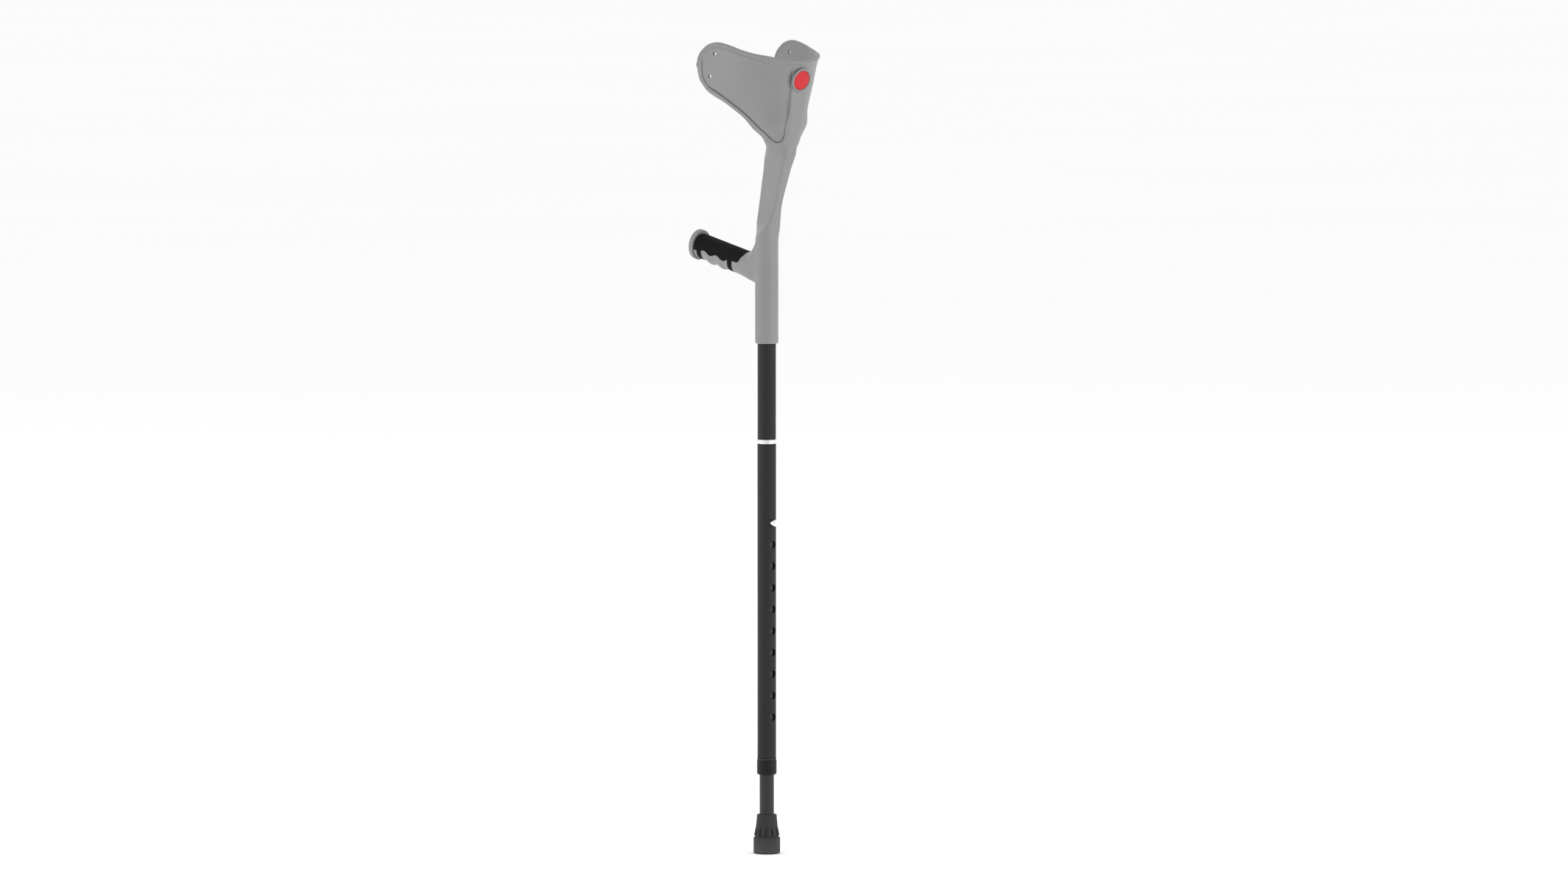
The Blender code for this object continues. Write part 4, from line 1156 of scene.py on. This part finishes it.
def make_ferrule():
    """Rubber foot: a ringed base, a waist groove, and a cone with narrow slots between its ribs."""
    bore = INNER_TUBE_R + GAP
    floor = WASHER_Z - GAP
    groove = 1.6 * MM
    profile = fillets((
        (11.6 * MM, FERRULE_TOP, 0.7 * MM),
        (12.05 * MM, 39.2 * MM, 1.5 * MM),
        (12.95 * MM, 30.8 * MM, 2.0 * MM),
        (14.0 * MM, 26.2 * MM, 1.5 * MM),
        (15.1 * MM, FERRULE_GROOVE_TOP, 0.5 * MM),
        (13.9 * MM, FERRULE_GROOVE_TOP - 0.3 * MM, 0.25 * MM),
        (13.9 * MM, FERRULE_BASE_TOP + 0.3 * MM, 0.25 * MM),
        (FERRULE_R, FERRULE_BASE_TOP, 0.6 * MM),
        (FERRULE_R, 0.0, 1.0 * MM),
        (12.6 * MM, 0.0, 0.3 * MM),
        (12.2 * MM, groove, 0.3 * MM),
        (10.6 * MM, groove, 0.3 * MM),
        (10.2 * MM, 0.0, 0.3 * MM),
        (7.6 * MM, 0.0, 0.3 * MM),
        (7.2 * MM, groove, 0.3 * MM),
        (5.6 * MM, groove, 0.3 * MM),
        (5.2 * MM, 0.0, 0.3 * MM),
        (0.0, 0.0, 0.0),
        (0.0, floor, 0.0),
        (bore, floor, 0.3 * MM),
        (bore, FERRULE_TOP, 0.4 * MM),
    ))
    fine = []
    for (r0, z0), (r1, z1) in zip(profile, profile[1:] + profile[:1]):
        fine.append((r0, z0))
        long = math.hypot(r1 - r0, z1 - z0)
        pieces = int(long / (0.6 * MM)) if FERRULE_GROOVE_TOP - 1.0 * MM < min(z0, z1) < RIB_TOP else 1
        if r0 > 12.0 * MM and r1 > 12.0 * MM:
            fine += [(r0 + (r1 - r0) * k / pieces, z0 + (z1 - z0) * k / pieces) for k in range(1, pieces)]

    def slotted(r, z, angle):
        if r < 12.2 * MM or z < FERRULE_GROOVE_TOP - 0.2 * MM or z > RIB_TOP:
            return r
        turn = (angle / TAU * RIB_SLOTS) % 1.0 - 0.5
        across = abs(turn) * TAU * r / RIB_SLOTS
        wide = 0.95 * MM * (1.0 - 0.45 * (z - FERRULE_GROOVE_TOP) / (RIB_TOP - FERRULE_GROOVE_TOP))
        fall = smooth((RIB_TOP - z) / (3.0 * MM)) * smooth(1.0 + (wide - across) / (0.35 * MM))
        return r - min(1.7 * MM, r - 11.4 * MM) * fall

    return lathe("ferrule_skin", fine, 432, shape_radius=slotted)


# ------------------------------------------------------------------ assembly

def place_piece(piece, body, slot_name, finishes, *nodes):
    piece.data.materials.clear()
    piece.data.materials.append(finishes[slot_name])
    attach(piece, body)
    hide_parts(*nodes)


def dress_nodes(finishes):
    """CAD nodes that stay as they are take the procedural finish of their slot."""
    slots = {entry["node"]: entry["material_slot"] for entry in frame["record"]["subparts"]}
    for name in ("reflector_back", "tube_coupler", "inner_tube_bush", "button_spring", "ferrule_washer"):
        node = frame["nodes"][name]
        node.data.materials.clear()
        node.data.materials.append(finishes[slots[name]])


def make_stage():
    """A wide pale floor just under the ferrule."""
    made, tree, shader = new_material("studio_floor", Roughness=0.9, Specular_IOR_Level=0.1)
    cloud = add_node(tree, "TexNoise", Scale=0.6)
    tree.links.new(add_node(tree, "TexCoord").outputs["Object"], cloud.inputs["Vector"])
    pale = colour_ramp(tree, cloud.outputs["Fac"], 0.0, grey(0.93), 1.0, grey(0.945))
    tree.links.new(pale, shader.inputs["Base Color"])
    mesh = bpy.data.meshes.new("floor")
    shape = bmesh.new()
    bmesh.ops.create_circle(shape, cap_ends=True, segments=96, radius=60.0)
    shape.to_mesh(mesh)
    shape.free()
    mesh.materials.append(made)
    floor = link("floor", mesh)
    floor.location.z = -0.0006


def lamp(name, size, power, where, look_at):
    data = bpy.data.lights.new(name, "AREA")
    data.shape = "DISK"
    data.size = size
    data.energy = power
    made = bpy.data.objects.new(name, data)
    bpy.context.scene.collection.objects.link(made)
    made.location = where
    made.rotation_mode = "QUATERNION"
    made.rotation_quaternion = (Vector(look_at) - Vector(where)).to_track_quat("-Z", "Y")


def direction(azimuth, elevation):
    a, e = math.radians(azimuth), math.radians(elevation)
    return Vector((math.sin(a) * math.cos(e), -math.cos(a) * math.cos(e), math.sin(e)))


def make_light():
    """A pale studio, dimmer on the photographer's side, with two side lamps and a lit floor."""
    world = bpy.data.worlds.new("studio")
    bpy.context.scene.world = world
    world.use_nodes = True
    tree = world.node_tree
    wire = tree.links.new
    back = fill(tree.nodes["Background"], Color=(1.0, 1.0, 1.0, 1.0))
    place = add_node(tree, "TexCoord").outputs["Generated"]
    parts = add_node(tree, "SeparateXYZ")
    wire(place, parts.inputs[0])
    height = add_node(tree, "MapRange", From_Min=0.0, From_Max=1.0, To_Min=0.88, To_Max=1.22)
    wire(parts.outputs["Z"], height.inputs["Value"])
    towards = add_node(tree, "VectorMath")
    towards.operation = "DOT_PRODUCT"
    towards.inputs[1].default_value = direction(PHOTO_AZIMUTH, 0.0)
    wire(place, towards.inputs[0])
    dim = add_node(tree, "MapRange", From_Min=0.2, From_Max=1.0, To_Min=1.0, To_Max=0.55)
    wire(towards.outputs["Value"], dim.inputs["Value"])
    level = add_node(tree, "Math")
    level.operation = "MULTIPLY"
    wire(height.outputs["Result"], level.inputs[0])
    wire(dim.outputs["Result"], level.inputs[1])
    wire(level.outputs[0], back.inputs["Strength"])
    middle = Vector((0.0, 0.0, 0.6))
    lamp("left", 1.1, 10.0, middle + direction(146.0, -2.0) * 3.0, middle)
    lamp("right", 1.4, 15.0, middle + direction(296.0, 2.0) * 3.0, middle)
    for i in range(4):
        spot = direction(3.0 + 90.0 * i, 0.0) * 3.4
        lamp("floor_wash", 2.4, 38.0, spot + Vector((0.0, 0.0, 1.5)), spot)
    bpy.context.scene.view_settings.view_transform = "Standard"


def make_camera():
    """The view of the photograph: from behind and to the +Y side, a little above the middle."""
    data = bpy.data.cameras.new("camera")
    made = bpy.data.objects.new("camera", data)
    bpy.context.scene.collection.objects.link(made)
    back = direction(PHOTO_AZIMUTH, PHOTO_ELEVATION)
    sideways = (-back).cross(Vector((0.0, 0.0, 1.0))).normalized()
    middle = Vector((0.0, 0.0, CAMERA_HEIGHT)) + sideways * CAMERA_ASIDE
    made.location = middle + back * CAMERA_AWAY
    made.rotation_mode = "QUATERNION"
    made.rotation_quaternion = (-back).to_track_quat("-Z", "Y")
    data.sensor_width = 36.0
    data.lens = CAMERA_LENS
    data.clip_end = 200.0
    data.dof.use_dof = False
    bpy.context.scene.camera = made


def main():
    finishes = make_finishes()
    make_camera()
    make_light()
    make_stage()
    place_piece(make_moulding(), "frame", "grey_moulding", finishes, "upper_moulding")
    place_piece(make_pad(), "frame", "soft_black_grip", finishes, "grip_pad")
    place_piece(make_end_cap(), "frame", "grey_moulding", finishes, "handle_end_cap")
    bezel, lens = make_reflector()
    place_piece(bezel, "frame", "grey_moulding", finishes, "reflector_bezel")
    place_piece(lens, "frame", "reflector_red", finishes, "reflector_lens")
    place_piece(make_upper_tube(), "frame", "dark_tube", finishes, "upper_tube")
    place_piece(make_ring(), "frame", "bright_ring", finishes, "joint_ring")
    place_piece(make_main_tube(), "frame", "dark_tube", finishes, "main_tube")
    for name, x, y, z, radius, reach in (
        ("upper_coupler_rivet", 1.0, 0.0, RIVET_Z[0], UPPER_TUBE_R, 3.2 * MM),
        ("lower_coupler_rivet", 1.0, 0.0, RIVET_Z[1], MAIN_TUBE_R, 3.2 * MM),
        ("sleeve_rivet", 0.0, -1.0, SLEEVE_RIVET_Z, SLEEVE_R, 4.2 * MM),
    ):
        piece = make_rivet(name + "_skin", x, y, z, radius, reach)
        place_piece(piece, "frame", "raw_aluminium", finishes, name)
    place_piece(make_bush(), "frame", "bush_plastic", finishes, "guide_bush")
    place_piece(make_collar(), "frame", "collar_plastic", finishes, "end_collar")
    place_piece(make_inner_tube(), "leg", "dark_inner_tube", finishes, "inner_tube")
    place_piece(make_ferrule(), "leg", "ferrule_rubber", finishes, "ferrule")
    place_piece(make_button(), "button", "button_chrome", finishes, "snap_button")
    dress_nodes(finishes)


main()
